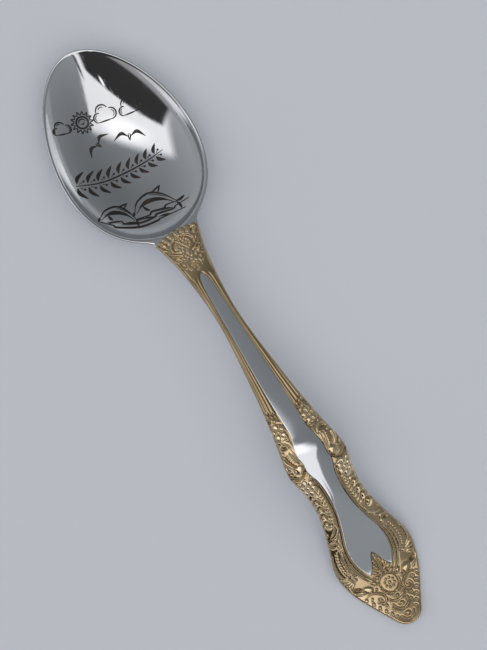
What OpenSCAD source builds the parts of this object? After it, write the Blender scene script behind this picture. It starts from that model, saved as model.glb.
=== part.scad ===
// Souvenir teaspoon: a stamped steel blank with a gold-plated relief border on its handle
// and a dark engraved seaside picture in its bowl.
//
// The long axis is Y, with the bowl's tip at +Y and the handle's end at -Y. Z is up and the
// spoon stands on z = 0. Along the spoon, places are given as s, the distance from the bowl's
// tip, and across it as n, which is the same as x. Both are in millimetres.

/* [Overall] */
// Length from the bowl's tip to the handle's end
length = 140; // [126:1:154]
// Height of the top of the handle's arch
arch_h = 15; // [14:0.1:17]

/* [Bowl] */
// Width of the bowl over its rim
bowl_w = 30.9; // [29:0.1:33]
// Depth of the hollow below the rim
bowl_depth = 7.1; // [6.5:0.1:7.8]
// Wall at the bottom of the bowl
bowl_wall = 1.1; // [0.9:0.05:1.3]
// Width of the rim's land
rim_w = 0.5; // [0.4:0.05:0.9]
// Height of the rim's outer edge
rim_h = 0.8; // [0.7:0.05:0.9]

/* [Handle] */
// Width of the shank at its narrowest
shank_w = 4.8; // [4.4:0.1:5.4]
// Width across the middle scrolls
scroll_w = 13.4; // [12.6:0.1:14.2]
// Width of the waist below the scrolls
waist_w = 11; // [10.4:0.1:11.8]
// Width of the crest at the handle's end
crest_w = 18; // [17:0.1:19]
// Thickness of the shank along its middle
shank_t = 2.5; // [2.2:0.1:2.8]
// Thickness of the crest along its middle
crest_t = 1.7; // [1.5:0.1:1.9]

/* [Plating and marks] */
// Thickness of the plated border's ground
plate_t = 0.2; // [0.15:0.05:0.3]
// Height of the relief above that ground
relief_h = 0.4; // [0.3:0.05:0.5]
// Height of the mirror panel along its middle
panel_h = 0.35; // [0.25:0.05:0.4]
// Thickness of the engraving's dark fill
mark_t = 0.06; // [0.04:0.01:0.1]

/* [Hidden] */

u = length / 140;                 // every distance along the spoon is stated for 140 mm
bowl_mid = 22.3 * u;              // middle of the bowl, and half its length
neck_cut = 44.2 * u;              // where the bowl ends and the handle begins
panel_from = 54.5 * u;            // ends of the mirror panel
panel_to = 127 * u;
foot = 0.16;                      // how much is taken off the bowl's lowest point
rim_mid_z = bowl_depth + bowl_wall;
tip_r = 3.5 * u;                  // round end of the handle
tip_taper = 30;                   // angle of the straight taper that runs into it
tip_from = length - tip_r * (1 - sin(tip_taper));
end_half_w = 0.35;                // half the small flat at the very end
steel = [0.72, 0.73, 0.75];
gold = [0.80, 0.66, 0.40];
dark = [0.16, 0.14, 0.13];

// ---- curves ---------------------------------------------------------------------------

function sq(v) = v * v;
function mix(a, b, f) = a + (b - a) * f;
function y_of(s) = length / 2 - s;

// Smaller or larger of two values, rounded over where they are within k of each other
function smin(a, b, k) = min(a, b) - sq(max(k - abs(a - b), 0)) / (4 * k);
function smax(a, b, k) = -smin(-a, -b, k);

// Smooth curve through [place, value] pairs, held level past its ends
function span(p, at, i = 0) = i >= len(p) - 2 || at < p[i + 1][0] ? i : span(p, at, i + 1);
function slope(p, i) =
    let (a = max(i - 1, 0), b = min(i + 1, len(p) - 1)) (p[b][1] - p[a][1]) / (p[b][0] - p[a][0]);
function curve(p, at) =
    let (i = span(p, at),
         h = p[i + 1][0] - p[i][0],
         t = min(max((at - p[i][0]) / h, 0), 1))
    p[i][1] * (2 * t * t * t - 3 * t * t + 1) + slope(p, i) * h * (t * t * t - 2 * t * t + t)
    + p[i + 1][1] * (3 * t * t - 2 * t * t * t) + slope(p, i + 1) * h * (t * t * t - t * t);
// The same with its places stated for a 140 mm spoon
function along(p, s) = curve(p, s / u);

// Points spaced evenly in parameter along a smooth path through a few chosen ones
function axis_of(p, k) = [for (i = [0 : len(p) - 1]) [i, p[i][k]]];
function path(p, steps) =
    [for (i = [0 : steps])
        let (t = i * (len(p) - 1) / steps) [curve(axis_of(p, 0), t), curve(axis_of(p, 1), t)]];
function arc(c, r, from, to, steps) =
    [for (i = [0 : steps]) let (a = mix(from, to, i / steps)) [c[0] + r * cos(a), c[1] + r * sin(a)]];

// ---- outline ----------------------------------------------------------------------------

// Egg whose broad end is towards the handle, t from -1 at the bowl's tip to 1
function egg(t, half_w) = half_w * (0.99 + 0.142 * t) * sqrt(max(1 - t * t, 0));
function bowl_edge(s) = egg((s - bowl_mid) / bowl_mid, bowl_w / 2);
function hollow_edge(s) = egg((s - bowl_mid) / (bowl_mid - rim_w), bowl_w / 2 - rim_w);

shank_half = shank_w / 2;
scroll_half = scroll_w / 2;
waist_half = waist_w / 2;
crest_half = crest_w / 2;
handle_outline = [
    [36, bowl_w * 0.343], [40, bowl_w * 0.26], [44, shank_half + 3.15], [48, shank_half + 1.9],
    [52, shank_half + 1.05], [57, shank_half + 0.4], [64, shank_half], [70, shank_half + 0.22],
    [78, shank_half + 0.98], [86, mix(shank_half, scroll_half, 0.44)],
    [93, mix(shank_half, scroll_half, 0.7)], [100, scroll_half],
    [104, mix(scroll_half, waist_half, 0.5)], [108.5, waist_half],
    [113, mix(waist_half, crest_half, 0.17)], [118, mix(waist_half, crest_half, 0.57)],
    [121.5, mix(waist_half, crest_half, 0.91)], [124, crest_half], [127, crest_half * 0.955],
    [130, crest_half * 0.845], [134, crest_half * 0.61], [tip_from / u, tip_r * cos(tip_taper)]];
function handle_edge(s) =
    s > tip_from ? max(sqrt(max(sq(tip_r) - sq(s - length + tip_r), 0)), end_half_w)
    : along(handle_outline, s);
// Half the spoon's width
function half_w(s) =
    s < 36 * u ? bowl_edge(s) : s < 60 * u ? smax(bowl_edge(s), handle_edge(s), 2.4) : handle_edge(s);
// Half the mirror panel's width, and a thin strip past its ends
function panel_edge(s) = along([[54.5, 0.3], [56, 0.8], [58, 1.05], [64, 1.3], [72, 1.55], [84, 1.95],
    [92, 2.35], [100, 2.75], [105, 2.6], [109, 2.4], [113, 2.6], [116, 3.2], [119, 4.1], [122, 4.7],
    [124.5, 4.5], [127, 3.2]], s);

// ---- heights ----------------------------------------------------------------------------

// Height of the rim's land, which lifts at both ends of the bowl
function rim_z(s) = let (t = (s - bowl_mid) / bowl_mid) rim_mid_z + 0.95 * t * t + 0.2 * t;
// Height of the spoon's upper side along its middle, hollow left out
function land_z(s) = s < 38 * u ? rim_z(s) : along([
    [36, rim_z(36 * u)], [40, rim_z(40 * u)], [44.5, rim_z(44.5 * u) + 0.15], [50, arch_h - 4.5],
    [56, arch_h - 3.5], [63, arch_h - 2.65], [70, arch_h - 1.9], [77, arch_h - 1.25],
    [84, arch_h - 0.65], [90, arch_h - 0.24], [94, arch_h - 0.05], [96, arch_h],
    [98.5, arch_h * 0.982], [101, arch_h * 0.937], [104, arch_h * 0.87], [108, arch_h * 0.765],
    [111, arch_h * 0.674], [118, arch_h * 0.441], [124, arch_h * 0.24], [127, crest_t + 0.58],
    [129, crest_t + 0.1], [131, crest_t], [134, crest_t + 0.17], [140, crest_t + 0.6]], s);
// How far the edges drop below the middle, and the thickness at the middle and at the edges
function crown(s) = along([[40, 0], [46, 0.25], [54, 0.3], [70, 0.28], [84, 0.4], [93, 0.85], [100, 0.95],
    [124, 0.95], [134, 0.6], [140, 0.1]], s);
function middle_t(s) = along([[40, rim_h], [44, 1.9], [50, 2.3], [60, shank_t], [72, shank_t], [90, 2.1],
    [110, 1.85], [130, crest_t], [140, crest_t]], s);
function edge_t(s) = along([[40, rim_h], [44, 0.95], [50, 1.4], [60, 1.7], [90, 1.4], [124, 1.15],
    [140, 1.2]], s);

// Height over the ground of a dished skin. Its cross-sections are round arcs, and its
// lengthwise section is the top of a round arc as well.
function cap(t) = (sqrt(max(1 - 0.64 * t * t, 0)) - 0.6) / 0.4;
function sag(t, depth) = depth * cap(t) * (1 + 0.08 * t);
function dish(s, n, half_l, half_w, depth, edge_z) =
    let (t = (s - bowl_mid) / half_l,
         inner_t = min(max(t, -0.98), 0.98),
         w = egg(inner_t, half_w),
         d = sag(inner_t, depth),
         r = (w * w + d * d) / (2 * d))
    edge_z - sag(t, depth) + r - sqrt(max(r * r - n * n, 0));
function hollow_z(s, n) =
    dish(s, n, bowl_mid - rim_w, bowl_w / 2 - rim_w, bowl_depth, rim_z(s));
function belly_z(s, n) =
    dish(s, n, bowl_mid, bowl_w / 2, bowl_depth + bowl_wall - rim_h, rim_z(s) - rim_h) - foot;
function crowned_z(s, n) = land_z(s) - crown(s) * sq(n / max(half_w(s), 0.01));
function back_z(s, n) =
    crowned_z(s, n) - edge_t(s) - (middle_t(s) - edge_t(s)) * max(0, 1 - sq(n / handle_edge(s)));

// Upper and lower side of the steel blank
function top_z(s, n) = s > 46 * u ? crowned_z(s, n) : smin(crowned_z(s, n), hollow_z(s, n), 0.35);
function under_z(s, n) =
    s < 36 * u ? max(belly_z(s, n), 0)
    : s < 45 * u ? max(smin(belly_z(s, n), back_z(s, n), 0.6), 0)
    : max(back_z(s, n), 0);
function ground_z(s, n) = top_z(s, n) + plate_t;

// ---- solids over those heights -------------------------------------------------------------

// Closed solid between an upper and a lower grid of points. Rows run along the spoon or the
// stroke, and each row runs across it.
module slab(upper, lower) {
    rows = len(upper);
    cols = len(upper[0]);
    function up(i, j) = i * cols + j;
    function dn(i, j) = (rows + i) * cols + j;
    function two(a, b, c, d) = [[a, b, c], [a, c, d]];
    polyhedron(
        [for (row = upper) each row, for (row = lower) each row],
        [for (i = [0 : rows - 2], j = [0 : cols - 2]) each concat(
             two(up(i, j), up(i, j + 1), up(i + 1, j + 1), up(i + 1, j)),
             two(dn(i, j), dn(i + 1, j), dn(i + 1, j + 1), dn(i, j + 1))),
         for (i = [0 : rows - 2]) each concat(
             two(up(i, 0), up(i + 1, 0), dn(i + 1, 0), dn(i, 0)),
             two(up(i + 1, cols - 1), up(i, cols - 1), dn(i, cols - 1), dn(i + 1, cols - 1))),
         for (j = [0 : cols - 2]) each concat(
             two(up(0, j + 1), up(0, j), dn(0, j), dn(0, j + 1)),
             two(up(rows - 1, j), up(rows - 1, j + 1), dn(rows - 1, j + 1), dn(rows - 1, j)))]);
}

// Closed solid over rings of equal length, with a point closing each end
module ringed(rings, first, last) {
    m = len(rings);
    k = len(rings[0]);
    polyhedron(
        [first, for (ring = rings) each ring, last],
        [for (j = [0 : k - 1]) [0, 1 + (j + 1) % k, 1 + j],
         for (i = [0 : m - 2], j = [0 : k - 1], half = [0, 1])
             let (a = 1 + i * k + j, b = 1 + i * k + (j + 1) % k)
             half == 0 ? [a, b, b + k] : [a, b + k, a + k],
         for (j = [0 : k - 1]) let (a = 1 + (m - 1) * k) [a + j, a + (j + 1) % k, 1 + m * k]]);
}

function between(from, to, steps) = [for (i = [0 : steps]) mix(from, to, i / steps)];
// Places across the handle, shared by the blank and everything that lies on it
function across(s) =
    let (w = half_w(s), p = min(panel_edge(s), 0.6 * w))
    [-w, -(w + p) / 2, -p, -p / 2, 0, p / 2, p, (w + p) / 2, w];
// Places along the handle, closer together at the neck and at the round end
neck_places = between(neck_cut, panel_from, 6);
border_places = between(panel_from, panel_to, 36);
crest_places = concat(between(panel_to, tip_from, 6),
    [for (a = [tip_taper + 15 : 15 : 90]) length - tip_r + tip_r * sin(a)]);

// Plate on the blank's upper side, from column a to column b of each row, h(s, n) thick
module plate(places, a, b, h) {
    slab([for (s = places) [for (j = [a : b]) let (n = across(s)[j]) [n, y_of(s), top_z(s, n) + h(s, n)]]],
         [for (s = places) [for (j = [a : b]) let (n = across(s)[j]) [n, y_of(s), top_z(s, n)]]]);
}

// Strip that lies on base(s, n) along points [n, s]. It is w wide, tapers to taper times w at
// its ends, and is h high along its middle.
module strip(points, w, h, base, taper = 0.35) {
    last = len(points) - 1;
    rows = [for (i = [0 : last])
        let (a = points[max(i - 1, 0)],
             b = points[min(i + 1, last)],
             d = [b[0] - a[0], a[1] - b[1]] / norm(b - a),
             half = w / 2 * mix(taper, 1, sin(180 * i / last)))
        [for (side = [-1, 0, 1])
            [points[i][0] - side * half * d[1], points[i][1] * u - side * half * d[0]]]];
    function lift(side) = side == 1 ? h : h * 0.35;
    slab([for (row = rows) [for (k = [0 : 2])
              [row[k][0], y_of(row[k][1]), base(row[k][1], row[k][0]) + lift(k)]]],
         [for (row = rows) [for (k = [0 : 2]) [row[k][0], y_of(row[k][1]), base(row[k][1], row[k][0])]]]);
}
module ridge(points, w, h = relief_h) {
    strip(points, w, h, function (s, n) ground_z(s, n));
}
module stroke(points, w, taper = 0.35) {
    strip(points, w, mark_t, function (s, n) hollow_z(s, n), taper);
}

// Low round boss on the plated ground at [n, s]
module boss(at, r, h = relief_h) {
    step = 0.05;
    s = at[1] * u;
    n = at[0];
    pitch = atan((ground_z(s - step, n) - ground_z(s + step, n)) / (2 * step));
    roll = atan((ground_z(s, n - step) - ground_z(s, n + step)) / (2 * step));
    ball = (r * r + h * h) / (2 * h);
    translate([n, y_of(s), ground_z(s, n)]) rotate([pitch, roll, 0]) difference() {
        translate([0, 0, h - ball]) sphere(ball, $fn = 32);
        translate([-2 * ball, -2 * ball, -4 * ball]) cube(4 * ball);
    }
}
module flower(at, petals, ring_r, petal_r, middle_r) {
    boss(at, middle_r, relief_h);
    for (i = [0 : petals - 1]) {
        a = 360 * (i + 0.5) / petals;
        boss([at[0] + ring_r * cos(a), at[1] + ring_r * sin(a)], petal_r, relief_h * 0.7);
    }
}
// The other side's copy of what is drawn at n > 0
module on_side(side) {
    if (side > 0) children();
    else mirror([1, 0, 0]) children();
}

// ---- steel blank ------------------------------------------------------------------------------

// Outline of the bowl's solid as [n, s]: round the rim from the neck's right corner, over the
// tip to the left corner, and straight back across the neck
rim_steps = 22;
neck_steps = 4;
bowl_outline = let (side = [for (i = [0 : rim_steps]) neck_cut * (1 - cos(90 * i / rim_steps))])
    concat([for (i = [rim_steps : -1 : 1]) [half_w(side[i]), side[i]]],
           [[0, 0]],
           [for (i = [1 : rim_steps]) [-half_w(side[i]), side[i]]],
           [for (i = [1 : neck_steps - 1]) [mix(-1, 1, i / neck_steps) * half_w(neck_cut), neck_cut]]);

module bowl() {
    centre = [0, bowl_mid];
    // Share of the way out to the outline at which the hollow's edge is crossed
    function crossing(p, lo = 0, hi = 1, tries = 12) =
        let (f = (lo + hi) / 2, q = mix(centre, p, f))
        tries == 0 ? lo
        : abs(q[0]) < hollow_edge(q[1]) ? crossing(p, f, hi, tries - 1)
        : crossing(p, lo, f, tries - 1);
    edge = [for (p = bowl_outline) mix(centre, p, crossing(p))];
    function upper(q) = [q[0], y_of(q[1]), top_z(q[1], q[0])];
    function lower(q) = [q[0], y_of(q[1]), under_z(q[1], q[0])];
    upper_shares = [0.2, 0.4, 0.58, 0.73, 0.85, 0.94, 1];
    lower_shares = [1, 0.92, 0.8, 0.66, 0.48, 0.3, 0.14];
    color(steel) ringed(
        concat([for (f = upper_shares) [for (q = edge) upper(mix(centre, q, f))]],
               [[for (p = bowl_outline) [p[0], y_of(p[1]), crowned_z(p[1], p[0])]]],
               [for (f = lower_shares) [for (p = bowl_outline) lower(mix(centre, p, f))]]),
        upper(centre), lower(centre));
}

module handle_core() {
    places = concat(neck_places, [for (i = [1 : len(border_places) - 1]) border_places[i]],
                    [for (i = [1 : len(crest_places) - 1]) crest_places[i]]);
    color(steel) slab([for (s = places) [for (n = across(s)) [n, y_of(s), top_z(s, n)]]],
                      [for (s = places) [for (n = across(s)) [n, y_of(s), under_z(s, n)]]]);
}

// Polished field down the middle of the handle, slightly rounded across
module mirror_panel() {
    color(steel) plate(border_places, 2, 6,
        function (s, n) mix(plate_t, panel_h, 1 - sq(n / panel_edge(s))));
}

// ---- gold-plated neck ---------------------------------------------------------------------------

module neck_plating() {
    color(gold) plate(neck_places, 0, 8, function (s, n) plate_t);
}
module neck_shell() {
    color(gold) {
        ridge(path([[-3.4, 48.1], [-3.1, 46.6], [-1.6, 45.6], [0, 45.4], [1.6, 45.6], [3.1, 46.6],
                    [3.4, 48.1]], 14), 0.4);
        for (n = [-3.6 : 1.2 : 3.6]) boss([n, 44.85], 0.34, 0.25);
    }
}
module neck_flower() {
    color(gold) {
        flower([0, 47.3], 6, 0.95, 0.42, 0.4);
        flower([0, 52.4], 4, 0.5, 0.24, 0.2);
    }
}
module neck_scrolls() {
    color(gold) for (side = [-1, 1]) on_side(side) {
        ridge(path([[1.2, 50.6], [1.6, 49.2], [2.5, 48.6], [3.1, 49.1], [2.9, 49.8]], 8), 0.34);
        boss([2.3, 50.2], 0.42, 0.35);
        boss([2.5, 51.3], 0.3, 0.3);
    }
}

// ---- gold-plated borders --------------------------------------------------------------------------

module border(side) {
    color(gold) if (side < 0) plate(border_places, 0, 2, function (s, n) plate_t);
    else plate(border_places, 6, 8, function (s, n) plate_t);
}
// Three fine ribs down the shank's border, and the raised line that frames the panel below them
module reeds(side) {
    function rib(s, share) = mix(panel_edge(s * u), half_w(s * u), share);
    color(gold) on_side(side) {
        for (share = [0.22, 0.52, 0.82])
            ridge([for (s = [55.5 : 2 : 87.5]) [rib(s, share), s]], 0.34, 0.3);
        ridge([for (s = [102.5 : 1.75 : 125.25]) [panel_edge(s * u) + 0.32, s]], 0.34, 0.35);
    }
}
module upper_flower(side) {
    color(gold) on_side(side) {
        flower([3.8, 91.4], 5, 0.95, 0.42, 0.38);
        boss([3.2, 88.9], 0.4);
        boss([4.15, 88.8], 0.32);
    }
}
module middle_scroll(side) {
    color(gold) on_side(side) {
        ridge(path([[3.9, 95.7], [4.5, 94.6], [5.5, 94.9], [6.0, 96.4], [6.1, 98.2], [5.9, 99.7],
                    [5.2, 101.1]], 14), 0.5);
        boss([4.2, 100.2], 0.85);
        for (i = [0 : 3]) boss([4.9, 96.6 + 0.75 * i], 0.26, 0.3);
        ridge(path([[4.1, 96.6], [3.9, 97.7], [3.6, 98.9]], 6), 0.3);
    }
}
module lower_flower(side) {
    color(gold) on_side(side) flower([4.75, 104.6], 6, 1.05, 0.44, 0.45);
}
module bead_rows(side) {
    color(gold) on_side(side) {
        for (i = [0 : 7]) boss([3.35, 106.8 + 0.8 * i], 0.24, 0.28);
        for (p = path([[6.7, 119.8], [7.2, 122], [6.9, 124.6]], 6)) boss(p, 0.26, 0.28);
    }
}
module leaves(side) {
    color(gold) on_side(side) {
        // feathered leaf above the waist
        for (i = [0 : 2]) ridge(path([[5.15 + 0.12 * i, 108 + 1.75 * i], [4.5, 108.6 + 1.75 * i],
                                     [4.1, 110 + 1.75 * i]], 6), 0.4);
        ridge(path([[6.0, 115.4], [5.0, 115.8], [4.0, 115.1]], 6), 0.45);
        // scroll below the waist and the line inside it
        ridge(path([[7.1, 118.4], [6.6, 117.4], [5.8, 117.6], [5.6, 118.5]], 7), 0.38);
        ridge(path([[6.0, 119.4], [5.9, 121.4], [6.0, 124.2]], 7), 0.36);
        // flutes of the shell at the crest's shoulder
        for (i = [0 : 1]) ridge(path([[8.3 - 0.1 * i, 123.9 + 1.5 * i], [7.7, 125.1 + 1.2 * i],
                                     [6.4, 125.4 + 1.1 * i]], 6), 0.4);
    }
}

// ---- gold-plated crest ------------------------------------------------------------------------------

module crest_plating() {
    color(gold) plate(crest_places, 0, 8, function (s, n) plate_t);
}
module crest_rosette() {
    color(gold) {
        flower([0, 130.1], 8, 1.15, 0.34, 0.42);
        for (from = [-65, 115]) ridge(arc([0, 130.1], 2.25, from, from + 130, 12), 0.36);
    }
}
// Fan of long petals that stands over the end of the mirror panel
module crest_palmette() {
    color(gold) for (a = [-52, -26, 0, 26, 52])
        strip([for (f = [0 : 0.2 : 1]) [(1.1 + 2.2 * f) * sin(a), 127.6 - (0.4 + 2.7 * f) * cos(a)]],
              0.75, relief_h, function (s, n) top_z(s, n) + panel_h);
}
module crest_scrolls() {
    color(gold) {
        for (side = [-1, 1]) on_side(side) {
            ridge(path([[5.6, 130.4], [4.3, 130.5], [3.1, 131.6], [3.0, 133.0], [3.9, 133.4]], 11), 0.42);
            ridge(path([[7.6, 128.0], [6.2, 129.0], [4.9, 128.9]], 6), 0.5);
        }
        ridge(path([[-1.4, 134.6], [-0.9, 135.9], [0, 136.3], [0.9, 135.9], [1.4, 134.6]], 10), 0.42);
    }
}
module crest_beads() {
    color(gold) {
        boss([0, 137.7], 0.5);
        for (side = [-1, 1]) on_side(side) {
            boss([3.6, 129.2], 0.6);
            for (i = [0 : 3]) boss([4.9 - 0.72 * i, 132.6 + 1.25 * i], 0.36, 0.3);
        }
    }
}

// ---- engraving in the bowl ---------------------------------------------------------------------

mark_turn = 16;                   // the picture leans by this angle from the spoon's axis
mark_centre = [-2, 25];           // the picture's middle as [n, s]
// A point of the picture, stated about its middle with x to the right and y up, as [n, s]
function picture(p) = mark_centre + [p[0] * cos(mark_turn) + p[1] * sin(mark_turn),
                                     p[0] * sin(mark_turn) - p[1] * cos(mark_turn)];
// A point stated about [x, y], turned and sized with its motif
function placed(at, turn, size, p) = at + size * [p[0] * cos(turn) - p[1] * sin(turn),
                                                  p[0] * sin(turn) + p[1] * cos(turn)];
module draw(points, steps, w, taper = 0.35) {
    stroke([for (p = path(points, steps)) picture(p)], w, taper);
}
module draw_arc(c, r, from, to, steps, w) {
    stroke([for (p = arc(c, r, from, to, steps)) picture(p)], w);
}

module cloud(at, size) {
    puffs = [[-1.5, -0.2, 0.9, 250, 60], [-0.3, 0.7, 1.2, 175, 20], [1.4, 0.1, 1.05, 95, -95]];
    for (c = puffs) draw_arc(at + size * [c[0], c[1]], c[2] * size, c[3], c[4], 9, 0.24);
    draw([for (p = [[-1.8, -1.05], [0, -1.0], [1.35, -0.95]]) at + size * p], 4, 0.24);
}
module engraved_clouds() {
    color(dark) {
        cloud([-9.6, 10.6], 0.8);
        cloud([-0.9, 10.6], 1.2);
        cloud([4.6, 9.8], 1.0);
    }
}
module engraved_sun() {
    sun = [-5.6, 10.8];
    color(dark) {
        draw_arc(sun, 1.2, 0, 350, 20, 0.28);
        for (a = [0 : 30 : 330]) stroke([for (f = [1.5, 1.9, 2.35])
            picture([sun[0] + f * cos(a), sun[1] + f * sin(a)])], 0.42, 0.5);
    }
}
module gull(at, turn, size) {
    color(dark) {
        for (side = [-1, 1]) for (lift = [0, 0.42])
            draw([for (p = [[0.25, 0], [1.6, 0.5 + lift], [3.2, -0.5]])
                  placed(at, turn, size, [side * p[0], p[1]])], 8, 0.22);
        draw([placed(at, turn, size, [0, 0.6]), placed(at, turn, size, [0, -0.7])], 2, 0.42);
    }
}
module engraved_gulls() {
    gull([-3.6, 5.4], 42, 0.95);
    gull([3.3, 5.4], -7, 1);
}
// Leafy spray: one stem with leaves on both sides of it
module engraved_spray() {
    stem = [[-10.4, -2.6], [-5.2, -2.8], [0, -2.0], [4.8, -0.9], [9.4, 0.6]];
    at = path(stem, 9);
    color(dark) {
        draw(stem, 16, 0.4);
        for (i = [0 : 8], side = [-1, 1]) {
            along_stem = at[i + 1] - at[i];
            lean = atan2(along_stem[1], along_stem[0]) + side * 62;
            leaf = 3.7 - 0.14 * i;
            draw([for (p = [[0.15, 0], [0.5, side * 0.08], [1, -side * 0.1]])
                  placed(at[i], lean, leaf, p)], 6, 0.8, 0.3);
        }
    }
}
module dolphin(at, turn, size) {
    module line(points, steps, w) {
        draw([for (p = points) placed(at, turn, size, p)], steps, w);
    }
    color(dark) {
        // back, belly, dark flank, fin, beak and tail
        line([[-4.4, -2.6], [-3.6, -0.4], [-1.2, 1.1], [1.6, 0.5], [4.4, -1.6]], 13, 0.32);
        line([[-4.0, -2.9], [-2.6, -1.4], [0, -0.7], [2.4, -1.0], [4.2, -2.0]], 11, 0.28);
        line([[-3.3, -1.5], [-1.4, -0.2], [1.6, -0.3]], 8, 0.95);
        line([[-0.6, 1.1], [0.5, 1.7], [1.5, 2.4]], 5, 0.55);
        line([[-4.5, -2.5], [-4.6, -3.4]], 3, 0.5);
        line([[4.3, -1.7], [5.2, -1.5], [6.2, -0.9]], 4, 0.55);
        line([[4.4, -1.9], [5.0, -2.6], [5.3, -3.5]], 4, 0.5);
    }
}
module engraved_dolphins() {
    dolphin([-2.9, -10.0], -22, 0.8);
    dolphin([4.7, -8.9], -6, 1.0);
}
module engraved_waves() {
    color(dark) for (i = [0 : 2]) {
        y = -12.6 - 0.95 * i;
        from = -7.6 + 2.6 * i;
        draw([[from, y + 0.3], [from + 2.8, y - 0.2], [from + 5.6, y + 0.15], [from + 9.2, y - 0.25],
              [from + 14 - 1.6 * i, y + 0.35]], 14, 0.4);
    }
}

// ---- assembly ----------------------------------------------------------------------------------

bowl();
handle_core();
mirror_panel();
neck_plating();
neck_shell();
neck_flower();
neck_scrolls();
border(-1);  // border_left
border(1);  // border_right
reeds(-1);  // reeds_left
reeds(1);  // reeds_right
upper_flower(-1);  // upper_flower_left
upper_flower(1);  // upper_flower_right
middle_scroll(-1);  // middle_scroll_left
middle_scroll(1);  // middle_scroll_right
lower_flower(-1);  // lower_flower_left
lower_flower(1);  // lower_flower_right
bead_rows(-1);  // bead_rows_left
bead_rows(1);  // bead_rows_right
leaves(-1);  // leaves_left
leaves(1);  // leaves_right
crest_plating();
crest_rosette();
crest_palmette();
crest_scrolls();
crest_beads();
engraved_clouds();
engraved_sun();
engraved_gulls();
engraved_spray();
engraved_dolphins();
engraved_waves();
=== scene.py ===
"""Souvenir teaspoon: polished steel bowl with a dark engraved picture, and a handle whose
gold-plated relief border frames a mirror-polished panel.

Places on the spoon are given as (n, s) in millimetres: n across it, to the right when the bowl's
tip points away, and s along it from the bowl's tip. The relief is the same on both sides, so it is
drawn once over m = |n|, as heights above the blank, and cut up into the pieces that it consists of.
"""
import math

import bpy
import numpy as np
from mathutils import Matrix, Vector


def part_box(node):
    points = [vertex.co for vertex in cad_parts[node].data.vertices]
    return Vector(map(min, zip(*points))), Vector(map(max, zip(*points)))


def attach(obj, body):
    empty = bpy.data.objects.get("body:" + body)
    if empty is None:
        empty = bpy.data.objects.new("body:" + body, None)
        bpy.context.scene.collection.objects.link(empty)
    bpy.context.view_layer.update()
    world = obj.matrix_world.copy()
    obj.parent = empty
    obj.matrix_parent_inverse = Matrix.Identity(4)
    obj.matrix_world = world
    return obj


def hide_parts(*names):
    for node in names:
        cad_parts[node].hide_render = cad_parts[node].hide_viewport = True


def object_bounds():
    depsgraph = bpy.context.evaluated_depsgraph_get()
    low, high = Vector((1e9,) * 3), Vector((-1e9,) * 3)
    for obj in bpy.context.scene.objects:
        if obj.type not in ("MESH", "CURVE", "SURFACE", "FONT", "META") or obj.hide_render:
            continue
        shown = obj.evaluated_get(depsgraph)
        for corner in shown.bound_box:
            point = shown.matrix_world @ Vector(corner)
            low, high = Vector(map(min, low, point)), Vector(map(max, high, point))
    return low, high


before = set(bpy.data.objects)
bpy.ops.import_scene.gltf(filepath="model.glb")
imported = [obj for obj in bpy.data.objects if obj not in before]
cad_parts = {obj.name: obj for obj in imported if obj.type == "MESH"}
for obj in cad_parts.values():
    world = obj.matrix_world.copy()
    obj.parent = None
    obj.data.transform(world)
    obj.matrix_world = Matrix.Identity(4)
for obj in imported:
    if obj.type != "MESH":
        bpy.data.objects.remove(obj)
cad_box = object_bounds()

MM = 0.001


def in_mm(box):
    return [np.array(corner) / MM for corner in box]


# ---- places that the CAD model states ----

WHOLE, BOWL, CORE = in_mm(cad_box), in_mm(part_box("bowl")), in_mm(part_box("handle_core"))
LENGTH = WHOLE[1][1] - WHOLE[0][1]
U = LENGTH / 140                                # distances along the spoon are for 140 mm
BOWL_W = BOWL[1][0] - BOWL[0][0] + 0.03         # the CAD outline's facets lose a little
NECK_CUT = LENGTH / 2 - BOWL[0][1]
CREST_HALF, ARCH_H = CORE[1][0], CORE[1][2]

# ---- curves ----


def curve(pairs, at):
    """Smooth curve through (place, value) pairs, held level past its ends."""
    x, y = np.array(pairs, float).T
    last = len(x) - 1
    before, after = np.clip(np.arange(last + 1) - 1, 0, last), np.clip(np.arange(last + 1) + 1, 0, last)
    slope = (y[after] - y[before]) / (x[after] - x[before])
    i = np.clip(np.searchsorted(x, at, side="right") - 1, 0, last - 1)
    h = x[i + 1] - x[i]
    t = np.clip((at - x[i]) / h, 0, 1)
    return (y[i] * (2 * t**3 - 3 * t**2 + 1) + slope[i] * h * (t**3 - 2 * t**2 + t)
            + y[i + 1] * (3 * t**2 - 2 * t**3) + slope[i + 1] * h * (t**3 - t**2))


def path(points, steps):
    """Points spaced evenly in parameter along a smooth path through a few chosen ones."""
    points = np.array(points, float)
    t = np.linspace(0, len(points) - 1, steps + 1)
    places = np.arange(len(points))
    return np.stack([curve(np.stack([places, points[:, k]], 1), t) for k in (0, 1)], 1)


def arc(centre, r, start, stop, steps):
    a = np.radians(np.linspace(start, stop, steps + 1))
    return np.stack([centre[0] + r * np.cos(a), centre[1] + r * np.sin(a)], 1)


def mix(a, b, f):
    return a + (b - a) * f


def smin(a, b, k):
    return np.minimum(a, b) - np.maximum(k - np.abs(a - b), 0) ** 2 / (4 * k)


def smax(a, b, k):
    return -smin(-a, -b, k)


def ease(v):
    v = np.clip(v, 0, 1)
    return v * v * (3 - 2 * v)


# ---- the blank's outline and heights, as in the CAD model ----

BOWL_MID = 22.3 * U
RIM_W, RIM_H = 0.5, 0.8
BOWL_DEPTH, BOWL_WALL, FOOT = 7.1, 1.1, 0.16
SHANK_T, CREST_T = 2.5, 1.7
SHANK, SCROLL, WAIST = 2.4, 6.7, 5.5
TIP_R, TIP_TAPER = 3.5 * U, math.radians(30)
TIP_FROM = LENGTH - TIP_R * (1 - math.sin(TIP_TAPER))

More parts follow.
